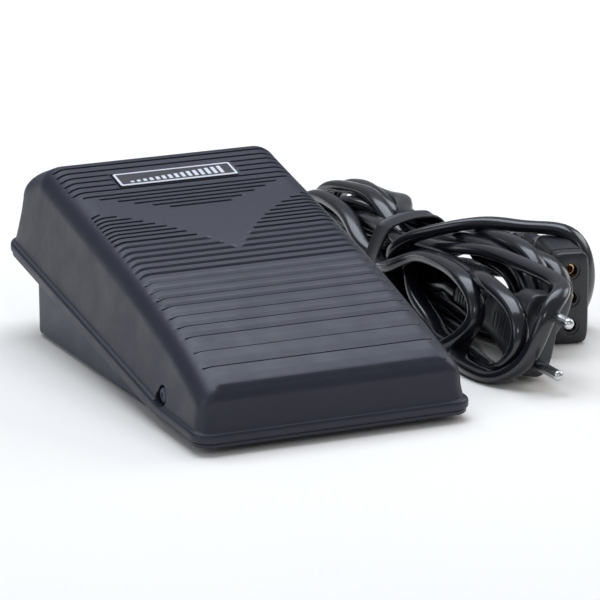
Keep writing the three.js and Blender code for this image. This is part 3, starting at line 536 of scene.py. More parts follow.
# centripetal Catmull-Rom through the points, resampled at even steps; extras are carried along
def resample(points, step, extras=None):
    p = np.array(points, float)
    q = np.vstack([2 * p[0] - p[1], p, 2 * p[-1] - p[-2]])
    side = np.zeros_like(p) if extras is None else np.array(extras, float)
    line, carried = [], []
    for i in range(1, len(q) - 2):
        p0, p1, p2, p3 = q[i - 1:i + 3]
        t1 = max(np.linalg.norm(p1 - p0), 1e-6) ** 0.5
        t2 = t1 + max(np.linalg.norm(p2 - p1), 1e-6) ** 0.5
        t3 = t2 + max(np.linalg.norm(p3 - p2), 1e-6) ** 0.5
        for part in np.arange(20) / 20:
            t = t1 + (t2 - t1) * part
            a1 = (t1 - t) / t1 * p0 + t / t1 * p1
            a2 = (t2 - t) / (t2 - t1) * p1 + (t - t1) / (t2 - t1) * p2
            a3 = (t3 - t) / (t3 - t2) * p2 + (t - t2) / (t3 - t2) * p3
            b1 = (t2 - t) / t2 * a1 + t / t2 * a2
            b2 = (t3 - t) / (t3 - t1) * a2 + (t - t1) / (t3 - t1) * a3
            line.append((t2 - t) / (t2 - t1) * b1 + (t - t1) / (t2 - t1) * b2)
            carried.append(side[i - 1] * (1 - part) + side[i] * part)
    line = np.array(line + [p[-1]])
    carried = np.array(carried + [side[-1]])
    along = np.r_[0, np.cumsum(np.linalg.norm(np.diff(line, axis=0), axis=1))]
    even = np.linspace(0, along[-1], int(round(along[-1] / step)) + 1)

    def pick(values):
        return np.stack([np.interp(even, along, values[:, k]) for k in range(3)], 1)

    return pick(line), pick(carried)


# the way the flat lead's wide side points: level on the floor, across the bundle, round the folds
def wide_directions(points, laid):
    out = []
    for i, p in enumerate(points):
        along = points[min(i + 1, len(points) - 1)] - points[max(i - 1, 0)]
        away = p - TIE_POINT
        if i < laid - 2:
            w = np.array([along[1], -along[0], 0])
        elif math.hypot(away[0], away[1]) < 25:
            w = np.array([1.0, 0, 0])
        else:
            w = np.array([-away[1], away[0], 0])
        w = w / np.linalg.norm(w)
        out.append(-w if out and out[-1] @ w < 0 else w)
    return out


def across(w, x):
    along = np.gradient(x, axis=0)
    along /= np.linalg.norm(along, axis=1)[:, None]
    w = w - (w * along).sum(1)[:, None] * along
    return w / np.maximum(np.linalg.norm(w, axis=1), 1e-9)[:, None]


# what the leads lie against: boxes as (centre, axes, half sizes), tapers as (end, end, radius, radius)
def obstacles():
    boxes = []
    for seat, middle, half in (
            (CONNECTOR_SEAT, (0, CONNECTOR["d"] / 2, CONNECTOR["low"] + CONNECTOR["h"] / 2),
             (CONNECTOR["w"] / 2, CONNECTOR["d"] / 2, CONNECTOR["h"] / 2)),
            (PLUG_SEAT, (0, PLUG["d"] / 2, 0), (PLUG["w"] / 2, PLUG["d"] / 2, PLUG["h"] / 2))):
        axes = np.array(seat.to_3x3()).T
        boxes.append((np.array(seat @ Vector(middle)), axes, np.array(half)))
    tapers = []
    for z in LEAD_Z:
        tapers.append((at_connector(0, CONNECTOR["d"], z), at_connector(0, CONNECTOR_TIP, z), 5.4, 3.5))
    tapers.append((np.array(PLUG_SEAT @ Vector((0, PLUG["d"], 0))),
                   np.array(PLUG_SEAT @ Vector((0, PLUG_TIP, 0))), 6.0, 3.5))
    for side in (-1, 1):
        ends = [np.array(PLUG_SEAT @ Vector((0, y, side * PIN["gap"] / 2))) for y in (0, -PIN["length"])]
        tapers.append((*ends, PIN["r"], PIN["r"]))
    return boxes, tapers


def support(directions, wide):
    c = (directions * wide).sum(1)
    return np.sqrt((HALF_WIDE * c) ** 2 + HALF_THIN ** 2 * (1 - c * c))


# both leads relax together: they stay near their plan, keep clear of each other and lie on the floor
def settle_cords(plans, laid_counts):
    lines, wides, held, owner = [], [], [], []
    for k, (points, laid) in enumerate(zip(plans, laid_counts)):
        x, w = resample(points, NODE_STEP, wide_directions(points, laid))
        pinned = np.zeros(len(x), bool)
        laid_length = np.linalg.norm(np.diff(points[:laid], axis=0), axis=1).sum() if laid > 1 else 0
        pinned[:int(laid_length / NODE_STEP) + 1] = True
        pinned[:3] = True
        pinned[-3:] = True
        lines.append(x)
        wides.append(w)
        held.append(pinned)
        owner.append(np.full(len(x), k))
    x, w, held, owner = np.vstack(lines), np.vstack(wides), np.concatenate(held), np.concatenate(owner)
    plan, count = x.copy(), len(x)
    reach = np.abs(np.arange(count)[:, None] - np.where(held)[0]).min(1)
    free = np.minimum(1, reach / LOOSE_NODES)[:, None]
    in_boot = np.concatenate([(np.arange(len(q)) < BOOT_NODES) | (np.arange(len(q)) >= len(q) - BOOT_NODES)
                              for q in lines])
    index = np.arange(count)
    first, second = np.triu_indices(count, 1)
    apart = (np.abs(index[first] - index[second]) > 3) | (owner[first] != owner[second])
    first, second = first[apart], second[apart]
    inner = np.where((owner[1:-1] == owner[:-2]) & (owner[1:-1] == owner[2:]))[0] + 1
    boxes, tapers = obstacles()
    for step in range(SETTLE_STEPS):
        calm = step >= SETTLE_STEPS - CALM_STEPS
        pull = 0.0 if calm else 0.06 * (1 - step / SETTLE_STEPS) ** 1.5 + 0.01
        x = x + pull * (plan - x) * free
        x[:, 2] -= SAG * free[:, 0]
        bend = np.zeros_like(x)
        bend[inner] = (x[inner - 1] + x[inner + 1]) / 2 - x[inner]
        stiff = np.zeros_like(x)
        stiff[inner] = (bend[inner - 1] + bend[inner + 1]) / 2 - bend[inner]
        x += free * ((0.02 if calm else 0.05) * bend - 0.2 * stiff)
        if step % 6 == 0:
            close = ((x[first] - x[second]) ** 2).sum(1) < NEIGHBOUR ** 2
            i, j = first[close], second[close]
            wide = np.vstack([across(w[owner == k], x[owner == k]) for k in range(len(plans))])
        gap = x[i] - x[j]
        distance = np.linalg.norm(gap, axis=1) + 1e-9
        gap /= distance[:, None]
        overlap = support(gap, wide[i]) + support(gap, wide[j]) - distance
        hit = overlap > 0
        push = gap[hit] * (overlap[hit] * 0.35)[:, None]
        moved, times = np.zeros_like(x), np.zeros(count)
        np.add.at(moved, i[hit], push)
        np.add.at(moved, j[hit], -push)
        np.add.at(times, i[hit], 1)
        np.add.at(times, j[hit], 1)
        x += moved / np.maximum(times, 1)[:, None] ** 0.6 * free
        for centre, axes, half in boxes:
            local = (x - centre) @ axes.T
            out = local - np.clip(local, CORNER - half, half - CORNER)
            distance = np.linalg.norm(out, axis=1)
            near = np.where((distance < CORNER + CLEAR) & (distance > 0) & ~held)[0]
            grow = (CORNER + CLEAR - distance[near]) / distance[near] * 0.8
            x[near] += (out[near] * grow[:, None]) @ axes
            deep = np.where((distance == 0) & ~held)[0]
            side = np.argmin(half - np.abs(local[deep]), axis=1)
            sign = np.where(side == 2, 1.0, np.sign(local[deep, side]))
            x[deep] += axes[side] * sign[:, None] * 2.0
        for a, b, ra, rb in tapers:
            part = np.clip(((x - a) @ (b - a)) / ((b - a) @ (b - a)), 0, 1)
            out = x - (a + part[:, None] * (b - a))
            distance = np.linalg.norm(out, axis=1) + 1e-9
            need = ra + (rb - ra) * part + CLEAR
            hit = (distance < need) & ~held & ~in_boot
            x[hit] += out[hit] / distance[hit][:, None] * (need - distance)[hit][:, None] * 0.8
        beside = np.abs(x[:, 1] - TIE["y"])
        radial = x[:, [0, 2]] - TIE_POINT[[0, 2]]
        distance = np.linalg.norm(radial, axis=1) + 1e-9
        limit = TIE["r"] - 1.2 + np.maximum(0, beside - 3) ** 1.3 * 0.35
        hit = (beside < 9) & ~held & (distance > limit)
        shrink = (radial[hit] / distance[hit][:, None]) * (distance - limit)[hit][:, None]
        x[hit, 0] -= shrink[:, 0]
        x[hit, 2] -= shrink[:, 1]
        floor = np.sqrt((HALF_WIDE * wide[:, 2]) ** 2 + HALF_THIN ** 2 * (1 - wide[:, 2] ** 2)) + 0.15
        x[:, 2] = np.where(held, x[:, 2], np.maximum(x[:, 2], floor))
        beside_pedal = (x[:, 1] < 88) & ~held
        x[beside_pedal, 0] = np.maximum(x[beside_pedal, 0], HALF_W + PEDAL_GAP)
    # last, the short waves are smoothed out without shrinking the folds
    for amount in SMOOTHING:
        bend[inner] = (x[inner - 1] + x[inner + 1]) / 2 - x[inner]
        x += free * amount * bend
    x[:, 2] = np.where(held, x[:, 2], np.maximum(x[:, 2], floor + 0.1))
    return [(x[owner == k], w[owner == k]) for k in range(len(plans))]


# a flat lead swept along its line, wide side along w
def sweep_lead(name, line, wide):
    fine, w = resample(line, 2.0, wide)
    w = across(w, fine)
    along = np.gradient(fine, axis=0)
    along /= np.linalg.norm(along, axis=1)[:, None]
    thin = np.cross(along, w)
    section = superellipse(LEAD_W / 2, LEAD_T / 2, 2.5, 24)
    rings = [p + section[:, :1] * a + section[:, 1:] * b for p, a, b in zip(fine, w, thin)]
    piece = make_object(name, *skin_rings(rings), sharp=math.radians(60))
    return piece, fine


CONNECTOR_TIP, PLUG_TIP = 54.3, 59.3
LEAD_Z = (10.0, 24.0)
pedal_plan, mains_plan = wind_hank()
settled = settle_cords((pedal_plan, mains_plan), (len(LEAD_ROUTE), 1))


def make_cord(name, line, wide):
    piece, path = sweep_lead(name, line, wide)
    return piece


pedal_cord = make_cord("lead_to_pedal", *settled[0])
settle(pedal_cord, "base", "cord_pvc", "pedal_lead", "cord_hank")
mains_cord = make_cord("lead_to_mains", *settled[1])
settle(mains_cord, "base", "cord_pvc", "cord_hank")


# ---------------------------------------------------------------- pieces on the cords
# a moulded boot with ribs that shrink towards the cord; stations are (start, end) half sizes
def ribbed_boot(name, start, length, at_start, at_end, seat, node, ribs=7, collar=2.6):
    stations = []
    step = 0.3
    for y in np.arange(0, length + step / 2, step):
        t = ease(max(0.0, y - collar) / (length - collar)) if y > collar else 0.0
        a = at_start[0] + (at_end[0] - at_start[0]) * t
        b = at_start[1] + (at_end[1] - at_start[1]) * t
        groove = 0.0
        if collar + 1.5 < y < length - 2.5:
            wave = math.cos(2 * math.pi * ribs * (y - collar - 1.5) / (length - collar - 4))
            groove = 0.42 * ease((wave + 0.15) / 0.5)
        if y < 0.5:
            groove = 0.4 * (1 - y / 0.5)
        stations.append((start + y, a - groove, b - groove, 2.6))
    points, faces = loft(stations, 40)
    piece = make_object(name, place(points, seat), faces)
    return settle(piece, "base", "soft_pvc", node)


lead_tip = (LEAD_W / 2 + 0.5, LEAD_T / 2 + 0.5)
upright_tip = (lead_tip[1], lead_tip[0])
pedal_boot = ribbed_boot("pedal_boot", TRAY["rear"] + 0.6, 27.4, (5.2, 4.4), lead_tip,
                         Matrix.Translation((EXIT[0], 0, EXIT[1])), "strain_relief")
connector_boots = [
    ribbed_boot(f"connector_boot_{i + 1}", CONNECTOR["d"] + 0.2, 23.8, (4.6, 5.4), upright_tip,
                CONNECTOR_SEAT @ Matrix.Translation((0, 0, z)), f"connector_relief_{i + 1}")
    for i, z in enumerate(LEAD_Z)]
plug_boot = ribbed_boot("plug_boot", PLUG["d"] + 0.2, 25.8, (5.0, 5.6), upright_tip, PLUG_SEAT, "plug_relief")


def make_connector():
    w, d, h = CONNECTOR["w"] / 2, CONNECTOR["d"], CONNECTOR["h"] / 2
    keys = [(0, w - 0.8, h - 0.8, 7), (0.25, w - 0.35, h - 0.35, 7), (0.8, w, h, 7), (5.4, w, h, 7),
            (5.7, w - 0.45, h - 0.45, 7), (6.5, w - 0.45, h - 0.45, 7), (6.8, w, h, 7), (d - 5, w, h, 6),
            (d - 1.4, w - 0.5, h - 0.6, 5), (d - 0.3, w - 1.3, h - 1.5, 4.5), (d, w - 2.4, h - 2.6, 4.5)]
    points, faces = loft(stations_between(keys, 0.8), 96)
    points[:, 2] += CONNECTOR["low"] + h
    grips = []
    for side in (-1, 1):
        for k in range(6):
            y = 11 + k * 2.4
            grips.append(cylinder(0.55, -9.5, 9.5, (side * (w + 0.2), y, CONNECTOR["low"] + h), "Z", 16, 0.3))
    piece = make_object("connector_body", place(points, CONNECTOR_SEAT), faces)
    bores = [cylinder(2.4, -1, 20, (0, 0, z), "Y", 40, 0.05) for z in (6.8, 16.8, 26.8)]
    rims = [cylinder(3.3, -1, 0.45, (0, 0, z), "Y", 40, 0.05) for z in (6.8, 16.8, 26.8)]
    for group in (bores, rims, grips):
        points, faces = merge(*group)
        carve(piece, place(points, CONNECTOR_SEAT), faces)
    return settle(piece, "base", "plug_pvc", "machine_connector")


def make_plug():
    w, d, h = PLUG["w"] / 2, PLUG["d"], PLUG["h"] / 2
    keys = [(0, w - 0.9, h - 0.9, 3.6), (0.3, w - 0.35, h - 0.35, 3.6), (1.0, w, h, 3.6), (8.5, w, h, 3.6),
            (11, w - 0.3, h - 0.5, 3.4), (14, w - 0.7, h - 2.4, 3.2), (20, w - 1.2, h - 4.6, 3.0),
            (26, w - 1.5, h - 6.4, 2.8), (d - 1, 5.5, 7.1, 2.6), (d, 5.0, 6.6, 2.6)]
    points, faces = loft(stations_between(keys, 0.7), 96)
    piece = make_object("plug_body", place(points, PLUG_SEAT), faces)
    cuts = []
    for side in (-1, 1):
        for k in range(5):
            reach = 5.5 - k * 0.4
            spot = (side * (w - 0.15 - k * 0.18), 12 + k * 2.6, 0)
            cuts.append(cylinder(0.6, -reach, reach, spot, "Z", 16, 0.3))
    points, faces = merge(*cuts)
    carve(piece, place(points, PLUG_SEAT), faces)
    rims = [cylinder(3.1, -0.7, 0.6, (0, 0, side * PIN["gap"] / 2), "Y", 40, 0.2) for side in (-1, 1)]
    points, faces = merge(*rims)
    collar = make_object("plug_pin_collars", place(points, PLUG_SEAT), faces)
    settle(collar, "base", "plug_pvc")
    return settle(piece, "base", "plug_pvc", "mains_plug"), collar


# a round pin with its sleeve near the plug and a domed tip
def make_plug_pin(i, side):
    r, length = PIN["r"], PIN["length"]
    profile = [(r - 0.25, -0.2), (r, 0.0), (r, 7.6), (r - 0.12, 7.9), (r - 0.12, length - 1.8)]
    profile += [((r - 0.12) * math.cos(a), length - 1.8 + 1.8 * math.sin(a))
                for a in np.radians([20, 40, 60, 78])]
    rings = []
    for radius, y in profile:
        ring = superellipse(radius, radius, 2, 40)
        rings.append(np.stack([ring[:, 0], np.full(40, -0.3 - y), ring[:, 1] + side * PIN["gap"] / 2], 1))
    points, faces = skin_rings(rings)
    piece = make_object(f"plug_pin_body_{i}", place(points, PLUG_SEAT), faces)
    return settle(piece, "base", "steel", f"plug_pin_{i}")


# the strap follows the bundle it squeezes: the outline is the hull of the leads' runs under it
def make_tie():
    count = 160
    angles = np.linspace(0, 2 * np.pi, count, endpoint=False)
    reach = np.full(count, TIE["r"] - 3.0)
    for line, _ in settled:
        near = line[np.abs(line[:, 1] - TIE["y"]) < 4]
        for x, _, z in near:
            reach = np.maximum(reach, (x - TIE["x"]) * np.cos(angles) + (z - TIE["z"]) * np.sin(angles) + 2.7)
    for _ in range(6):
        reach = (np.roll(reach, 1) + 2 * reach + np.roll(reach, -1)) / 4
    slope = (np.roll(reach, -1) - np.roll(reach, 1)) / (angles[1] - angles[0]) / 2
    hull = np.stack([reach * np.cos(angles) - slope * np.sin(angles),
                     reach * np.sin(angles) + slope * np.cos(angles)], 1)
    along = np.roll(hull, -1, 0) - np.roll(hull, 1, 0)
    along /= np.linalg.norm(along, axis=1)[:, None]
    outward = np.stack([along[:, 1], -along[:, 0]], 1)
    edge = TIE["width"] / 2
    section = [(-edge + 0.2, 0.0), (-edge, 0.25), (-edge, 0.75), (-edge + 0.3, 1.0), (-edge + 1.0, 1.0),
               (-edge + 1.3, 0.8), (edge - 1.3, 0.8), (edge - 1.0, 1.0), (edge - 0.3, 1.0), (edge, 0.75),
               (edge, 0.25), (edge - 0.2, 0.0)]
    rings = []
    for k in range(count):
        lean = 1.2 * math.cos(angles[k])
        ring = [(TIE["x"] + hull[k, 0] + outward[k, 0] * high, TIE["y"] + side + lean,
                 TIE["z"] + hull[k, 1] + outward[k, 1] * high) for side, high in section]
        rings.append(np.array(ring))
    rings.append(rings[0])
    points, faces = skin_rings(rings, False, False)
    strap = make_object("tie_strap", points, faces)
    settle(strap, "base", "soft_pvc", "cord_tie")
    k = int(count * 0.985)
    spot = Vector((TIE["x"] + hull[k, 0] + outward[k, 0] * 1.2, TIE["y"] + 1.2, TIE["z"] + hull[k, 1]))
    keys = [(-2.1, 3.0, 3.2, 5), (-1.7, 3.4, 3.6, 5), (1.3, 3.4, 3.6, 5), (1.9, 3.1, 3.3, 5),
            (2.1, 2.7, 2.9, 5)]
    points, faces = loft(stations_between(keys, 0.5), 40)
    buckle_seat = Matrix.Translation(spot) @ Matrix.Rotation(-math.pi / 2, 4, "Z")
    buckle = make_object("tie_buckle", place(points, buckle_seat), faces)
    settle(buckle, "base", "soft_pvc")
    return strap, buckle


connector_body = make_connector()
plug_body, pin_collars = make_plug()
plug_pins = [make_plug_pin(i + 1, side) for i, side in enumerate((-1, 1))]
tie_strap, tie_buckle = make_tie()


# ---------------------------------------------------------------- rounded shells over a plan
CORNER_STEPS = 10


# places down one side, from the front edge to the rear edge: round the front corner, straight, round
# the rear corner
def side_places(rows):
    places = [("front", a) for a in np.radians(np.linspace(0, 90, CORNER_STEPS + 1))]
    places += [("front_run", 0.5)]
    places += [("row", y) for y in rows]
    places += [("rear_run", 0.5)]
    return places + [("rear", a) for a in np.radians(np.linspace(0, 90, CORNER_STEPS + 1))]


# (x, y, share of the side in the corner) of each place on a rounded rectangle
def side_points(places, half, front, rear, corner):
    rows = [v for kind, v in places if kind == "row"]
    out = []
    for kind, v in places:
        if kind == "front":
            out.append((half - corner + corner * math.sin(v), front + corner - corner * math.cos(v),
                        math.sin(v) ** 2))
        elif kind == "front_run":
            out.append((half, front + corner + (rows[0] - front - corner) * v, 1.0))
        elif kind == "row":
            out.append((half, v, 1.0))
        elif kind == "rear_run":
            out.append((half, rows[-1] + (rear - corner - rows[-1]) * v, 1.0))
        else:
            out.append((half - corner + corner * math.cos(v), rear - corner + corner * math.sin(v),
                        math.cos(v) ** 2))
    return np.array(out)


# one ring of the shell: down the right side from front to rear, then back along the rear edge, up the
# left side and along the front edge
def ring_of(side, columns):
    right = [(x, y, s, 1) for x, y, s in side]
    between = columns[1:-1]
    rear = [(side[-1][0] * u, side[-1][1], side[-1][2], u) for u in between[::-1]]
    left = [(-x, y, s, -1) for x, y, s in side[::-1]]
    front = [(side[0][0] * u, side[0][1], side[0][2], u) for u in between]
    return np.array(right + rear + left + front)


# a lid of quads that shares its edge with a ring; row by row from front to rear
def lid_of(ring, side_count, columns, height):
    n = len(columns)
    grid = {}
    points = []
    for j in range(side_count):
        x, y = ring[j][0], ring[j][1]
        for k, u in enumerate(columns):
            grid[j, k] = len(points)
            points.append((x * u, y, height(x * u, y)))
    faces = [(grid[j, k], grid[j, k + 1], grid[j + 1, k + 1], grid[j + 1, k])
             for j in range(side_count - 1) for k in range(n - 1)]
    return np.array(points), faces


def band(rings):
    n = len(rings[0])
    faces = [(k * n + i, k * n + (i + 1) % n, (k + 1) * n + (i + 1) % n, (k + 1) * n + i)
             for k in range(len(rings) - 1) for i in range(n)]
    return np.vstack(rings), faces


# ---------------------------------------------------------------- the treadle's grooves
def groove_places(first, runs):
    places = [first]
    for count, pitch in runs:
        places += [places[-1] - pitch * (i + 1) for i in range(count)]
    return places


REAR_GROOVES = groove_places(61, [(6, 3.65), (5, 2.6)])
FRONT_PITCH = 2.56                  # between the finest of the front grooves
FRONT_GROOVES = groove_places(25.9, [(7, FRONT_PITCH), (1, 3.1), (6, 3.8), (4, 4.95), (3, 5.95), (2, 7.95),
                                     (1, 9.5)])
GROOVE_EDGE = 0.14                  # how far a groove's wall leans out at the surface
RAMP_DEPTH = 0.55
RAMP_PITCH, RAMP_SHARE = 2.9, 0.62  # a wider pitch has a ramp, as long as this share of the excess


# each groove: its y, how far it tapers out towards the high end, and its spans in x
def groove_table():
    table = []
    for y in REAR_GROOVES:
        reach = min(RIB["half_width"], (y - REAR_V["apex"]) / REAR_V["slope"])
        if reach <= 3:
            continue
        beside_badge = abs(y - BADGE["y"]) < BADGE["h"] / 2 + 1
        edge = BADGE["w"] / 2 + 1.5
        table.append((y, 0.0, [(-reach, -edge), (edge, reach)] if beside_badge else [(-reach, reach)]))
    for k, y in enumerate(FRONT_GROOVES):
        pitch = FRONT_GROOVES[k - 1] - y if k else FRONT_PITCH
        below = max(0.0, FRONT_V["slope"] ** 2 - 4 * FRONT_V["bend"] * (y - FRONT_V["apex"]))
        inner = 0.0 if y < FRONT_V["apex"] else (FRONT_V["slope"] - math.sqrt(below)) / (2 * FRONT_V["bend"])
        w = RIB["half_width"]
        spans = [(-w, -inner), (inner, w)] if inner > 1.5 else [(-w, w)]
        table.append((y, max(0.0, RAMP_SHARE * (pitch - RAMP_PITCH)), spans))
    return table


GROOVES = groove_table()


# depth of the grooves at a place: a narrow slot, and behind a wide one a ramp that fades out
def carved(x, y):
    depth = 0.0
    half = RIB["width"] / 2
    for at, taper, spans in GROOVES:
        d = y - at
        if d < -half or d > half + taper:
            continue
        slot = RIB["depth"] * min(1.0, (half - abs(d)) / GROOVE_EDGE) if abs(d) < half else 0.0
        ramp = RAMP_DEPTH * min(1.0, (half + taper - d) / taper) if taper and d > -half else 0.0
        for low, high in spans:
            inside = min(x - low, high - x)
            if inside > -0.3:
                depth = max(depth, max(slot, ramp) * min(1.0, (inside + 0.3) / 0.6))
    return depth


def badge_seat(x, y):
    w, h = BADGE["w"] / 2 + BADGE["seat"], BADGE["h"] / 2 + BADGE["seat"]
    inside = min(w - abs(x), h - abs(y - BADGE["y"]))
    return BADGE["sunk"] * min(1.0, max(0.0, (inside + 0.15) / 0.3))


# ---------------------------------------------------------------- treadle
FILLET_STEPS = 12                   # steps of the rounded edge on the treadle's outside


def treadle_rows():
    rows = set()
    half = RIB["width"] / 2
    for y, taper, _ in GROOVES:
        rows |= {y + s * (half - inward) for s in (-1, 1) for inward in (-0.13, 0.0, GROOVE_EDGE)}
        rows |= {y + half + taper * part for part in (0.33, 0.66, 1.0) if taper > 0.4}
    middle = BADGE["y"]
    rows |= {middle + s * (BADGE["h"] / 2 + BADGE["seat"] + d) for s in (-1, 1) for d in (-0.15, 0.0, 0.15)}
    ordered = [v for v in sorted(rows) if -75.5 < v < 70]
    kept = []
    for v in [-75.5, *ordered, 70.0]:
        if not kept or v - kept[-1] > 0.08:
            kept.append(v)
    filled = [kept[0]]
    for v in kept[1:]:
        extra = int((v - filled[-1]) / 1.1)
        start = filled[-1]
        filled += [start + (v - start) * (i + 1) / (extra + 1) for i in range(extra + 1)]
    return filled


def treadle_columns():
    fine = np.arange(-1, 1.0001, 1 / 56)
    return np.sort(np.unique(np.round(fine, 6)))


def treadle_rings(places, columns, inset=0.0, fillet_steps=FILLET_STEPS):
    half = HALF_W - FLANGE["out"] - inset
    front, rear = -HALF_L + FLANGE["out"] + inset, HALF_L - FLANGE["out"] - inset
    corner = FLANGE["corner"] - 1.0 - inset
    rings = []

    def add_ring(half_w, y0, y1, corner_r, height):
        ring = ring_of(side_points(places, half_w, y0, y1, corner_r), columns)
        rings.append(np.array([(x, y, height(x, y, s)) for x, y, s, _ in ring]))

    def step(y):
        return flange_low(y) + FLANGE["height"]

    if inset == 0.0:
        # the flange's section: how far in, and how high over its underside
        section = [(1.5, 0.0), (0.95, 0.0), (0.72, 0.1), (0.6, 0.35), (0.6, 1.25), (0.78, 1.42), (0.78, 1.58),
                   (0.3, 1.72), (0.08, 1.95), (0.0, 2.3), (0.0, 3.7), (0.1, 4.2), (0.38, 4.62), (0.75, 4.88),
                   (1.15, 4.98), (1.42, 5.02), (1.56, 5.12), (1.6, 5.35)]
        for inward, high in section:
            add_ring(HALF_W - inward, -HALF_L + inward, HALF_L - inward, FLANGE["corner"] - inward * 0.7,
                     lambda x, y, s, high=high: flange_low(y) + high)
    else:
        add_ring(half + 0.2, front - 0.2, rear + 0.2, corner, lambda x, y, s: flange_low(y))
        add_ring(half, front, rear, corner, lambda x, y, s: flange_low(y) + 1.0)
    top_front, top_rear = front + FRONT_LEAN, rear - REAR_LEAN
    for part in (0.35, 0.7):
        y0, y1 = front + FRONT_LEAN * part, rear - REAR_LEAN * part

        def height(x, y, s, part=part):
            side_top = top_line(min(max(y, top_front), top_rear)) - FILLET["side"] + inset * 0.3
            end_drop = FILLET["front"] if y < 0 else FILLET["rear"]
            end_top = top_line(min(max(y, top_front), top_rear)) - end_drop - inset
            target = side_top * s + end_top * (1 - s)
            return step(y) + (target - step(y)) * part

        add_ring(half, y0, y1, corner, height)
        rings[-1] = lean_in(rings[-1], step)
    for j in range(fillet_steps + 1):
        a = j / fillet_steps * math.pi / 2

        def roll(r, a=a):
            return (r - inset) * (1 - math.cos(a))

        corner_r = max(1.4, corner - 0.5 - 2.4 * (1 - math.cos(a)))

        def height(x, y, s, a=a):
            end = FILLET["front"] if y < 0 else FILLET["rear"]
            drop = (FILLET["side"] * s + end * (1 - s) - inset) * (1 - math.sin(a))
            return top_line(y) - inset - drop

        add_ring(half - roll(FILLET["side"]), top_front + roll(FILLET["front"]),
                 top_rear - roll(FILLET["rear"]), corner_r, height)
        rings[-1] = lean_in(rings[-1], step, top_limit=True)
    return rings


# the walls lean in as they rise, up to where the crown's fillet starts
def lean_in(ring, step, top_limit=False):
    widest = np.abs(ring[:, 0]).max()
    out = ring.copy()
    for k, (x, y, z) in enumerate(ring):
        top = top_line(y) - FILLET["side"]
        rise = min(top, 52) if top_limit else min(z, top, 52)
        lean = WALL_LEAN * max(0.0, rise - step(y))
        out[k, 0] = x - lean * x / widest
    return out


def make_treadle():
    places = side_places(treadle_rows())
    columns = treadle_columns()
    outer = treadle_rings(places, columns)
    for ring in outer[-(FILLET_STEPS + 1):]:
        for k, (x, y, z) in enumerate(ring):
            ring[k, 2] = z - carved(x, y)
    inner = treadle_rings(places, columns, SHELL, 4)
    side_count = len(places)

    def outer_height(x, y):
        return top_line(y) - max(carved(x, y), badge_seat(x, y))

    # the ring's own points carry no badge, so the lid matches it everywhere along its edge
    lid = lid_of(outer[-1], side_count, columns, outer_height)
    ceiling = lid_of(inner[-1], side_count, columns, lambda x, y: top_line(y) - SHELL)
    points, faces = merge(band([*inner[::-1], *outer]), lid, ceiling)
    piece = make_object("treadle_shell", points, faces, sharp=math.radians(32))
    cuts = []
    for side in (-1, 1):
        x0, x1 = sorted((side * 40.0, side * 56.0))
        z = PIVOT["z"] - KEY["drop"]
        cuts.append(cylinder(PIVOT["hole_r"], x0, x1, (0, PIVOT["y"], PIVOT["z"]), "X", 48, 0.01))
        cuts.append(cylinder(KEY["r"], x0, x1, (0, PIVOT["y"] + KEY["along"], z), "X", 32, 0.01))
        y0, y1 = PIVOT["y"], PIVOT["y"] + KEY["along"]
        corners = [(x, y, h) for x in (x0 - 0.1, x1 + 0.1) for y in (y0, y1)
                   for h in (z - KEY["r"] + 0.02, z + KEY["r"] - 0.02)]
        cuts.append((np.array(corners), [(0, 1, 3, 2), (4, 6, 7, 5), (0, 4, 5, 1), (2, 3, 7, 6), (0, 2, 6, 4),
                                         (1, 5, 7, 3)]))
    for part in cuts:
        carve(piece, *part, sharp=math.radians(32))
    return settle(piece, "treadle", "treadle_plastic", "treadle")


make_treadle()


# ---------------------------------------------------------------- badge
# points drawn flat about the badge's middle, laid on the treadle's top
def on_crown(points):
    y = BADGE["y"]
    tilt = math.atan(top_line(y + 1) - top_line(y))
    matrix = Matrix.Translation((0, y, top_line(y))) @ Matrix.Rotation(tilt, 4, "X")
    return place(points, matrix)


def plate(half_w, half_h, low, high, corner, count=64, edge=0.12, x=0.0, y=0.0):
    rings = []
    for inward, z in ((0.0, low), (0.0, high - edge), (edge, high)):
        outline = []
        for k in range(4):
            cx, cy = ((1, 1), (-1, 1), (-1, -1), (1, -1))[k]
            for a in np.linspace(0, math.pi / 2, count // 4):
                r = corner - inward if corner > inward else 0.01
                t = a + k * math.pi / 2
                outline.append((x + cx * (half_w - corner) + r * math.cos(t),
                                y + cy * (half_h - corner) + r * math.sin(t), z))
        rings.append(np.array(outline))
    return skin_rings(rings)


# a plate with a raised pale frame and, as generic decoration, a row of bars that grow to the right
def make_badge():
    w, h = BADGE["w"] / 2, BADGE["h"] / 2
    points, faces = plate(w, h, -0.72, 0.18, 0.9)
    board = make_object("badge_plate", on_crown(points), faces)
    settle(board, "treadle", "badge_plate", "badge")
    points, faces = plate(w - 0.1, h - 0.1, 0.1, 0.34, 0.8)
    border = make_object("badge_frame", points, faces)
    hole_points, hole_faces = plate(w - 0.95, h - 0.95, -1, 2, 0.3)
    carve(border, hole_points, hole_faces)
    # the frame is cut while it lies flat, and only then laid on the crown
    border.data.transform(Matrix.Scale(1 / MM, 4))
    coordinates = on_crown([v.co for v in border.data.vertices]) * MM
    border.data.vertices.foreach_set("co", coordinates.ravel())
    border.data.update()
    settle(border, "treadle", "badge_plate")
    bars = []
    count = 15
    for k in range(count):
        x = -w + 5.2 + k * (2 * w - 10.4) / (count - 1)
        half = 0.55 + 2.1 * k / (count - 1)
        bars.append(plate(0.72, half, 0.1, 0.32, 0.25, x=x, y=half - 2.65))
    points, faces = merge(*bars)
    graphic = make_object("badge_bars", on_crown(points), faces)
    settle(graphic, "treadle", "badge_plate")
    for piece in (border, graphic):
        piece.data.materials.clear()
        piece.data.materials.append(MATERIALS["badge_print"])


make_badge()


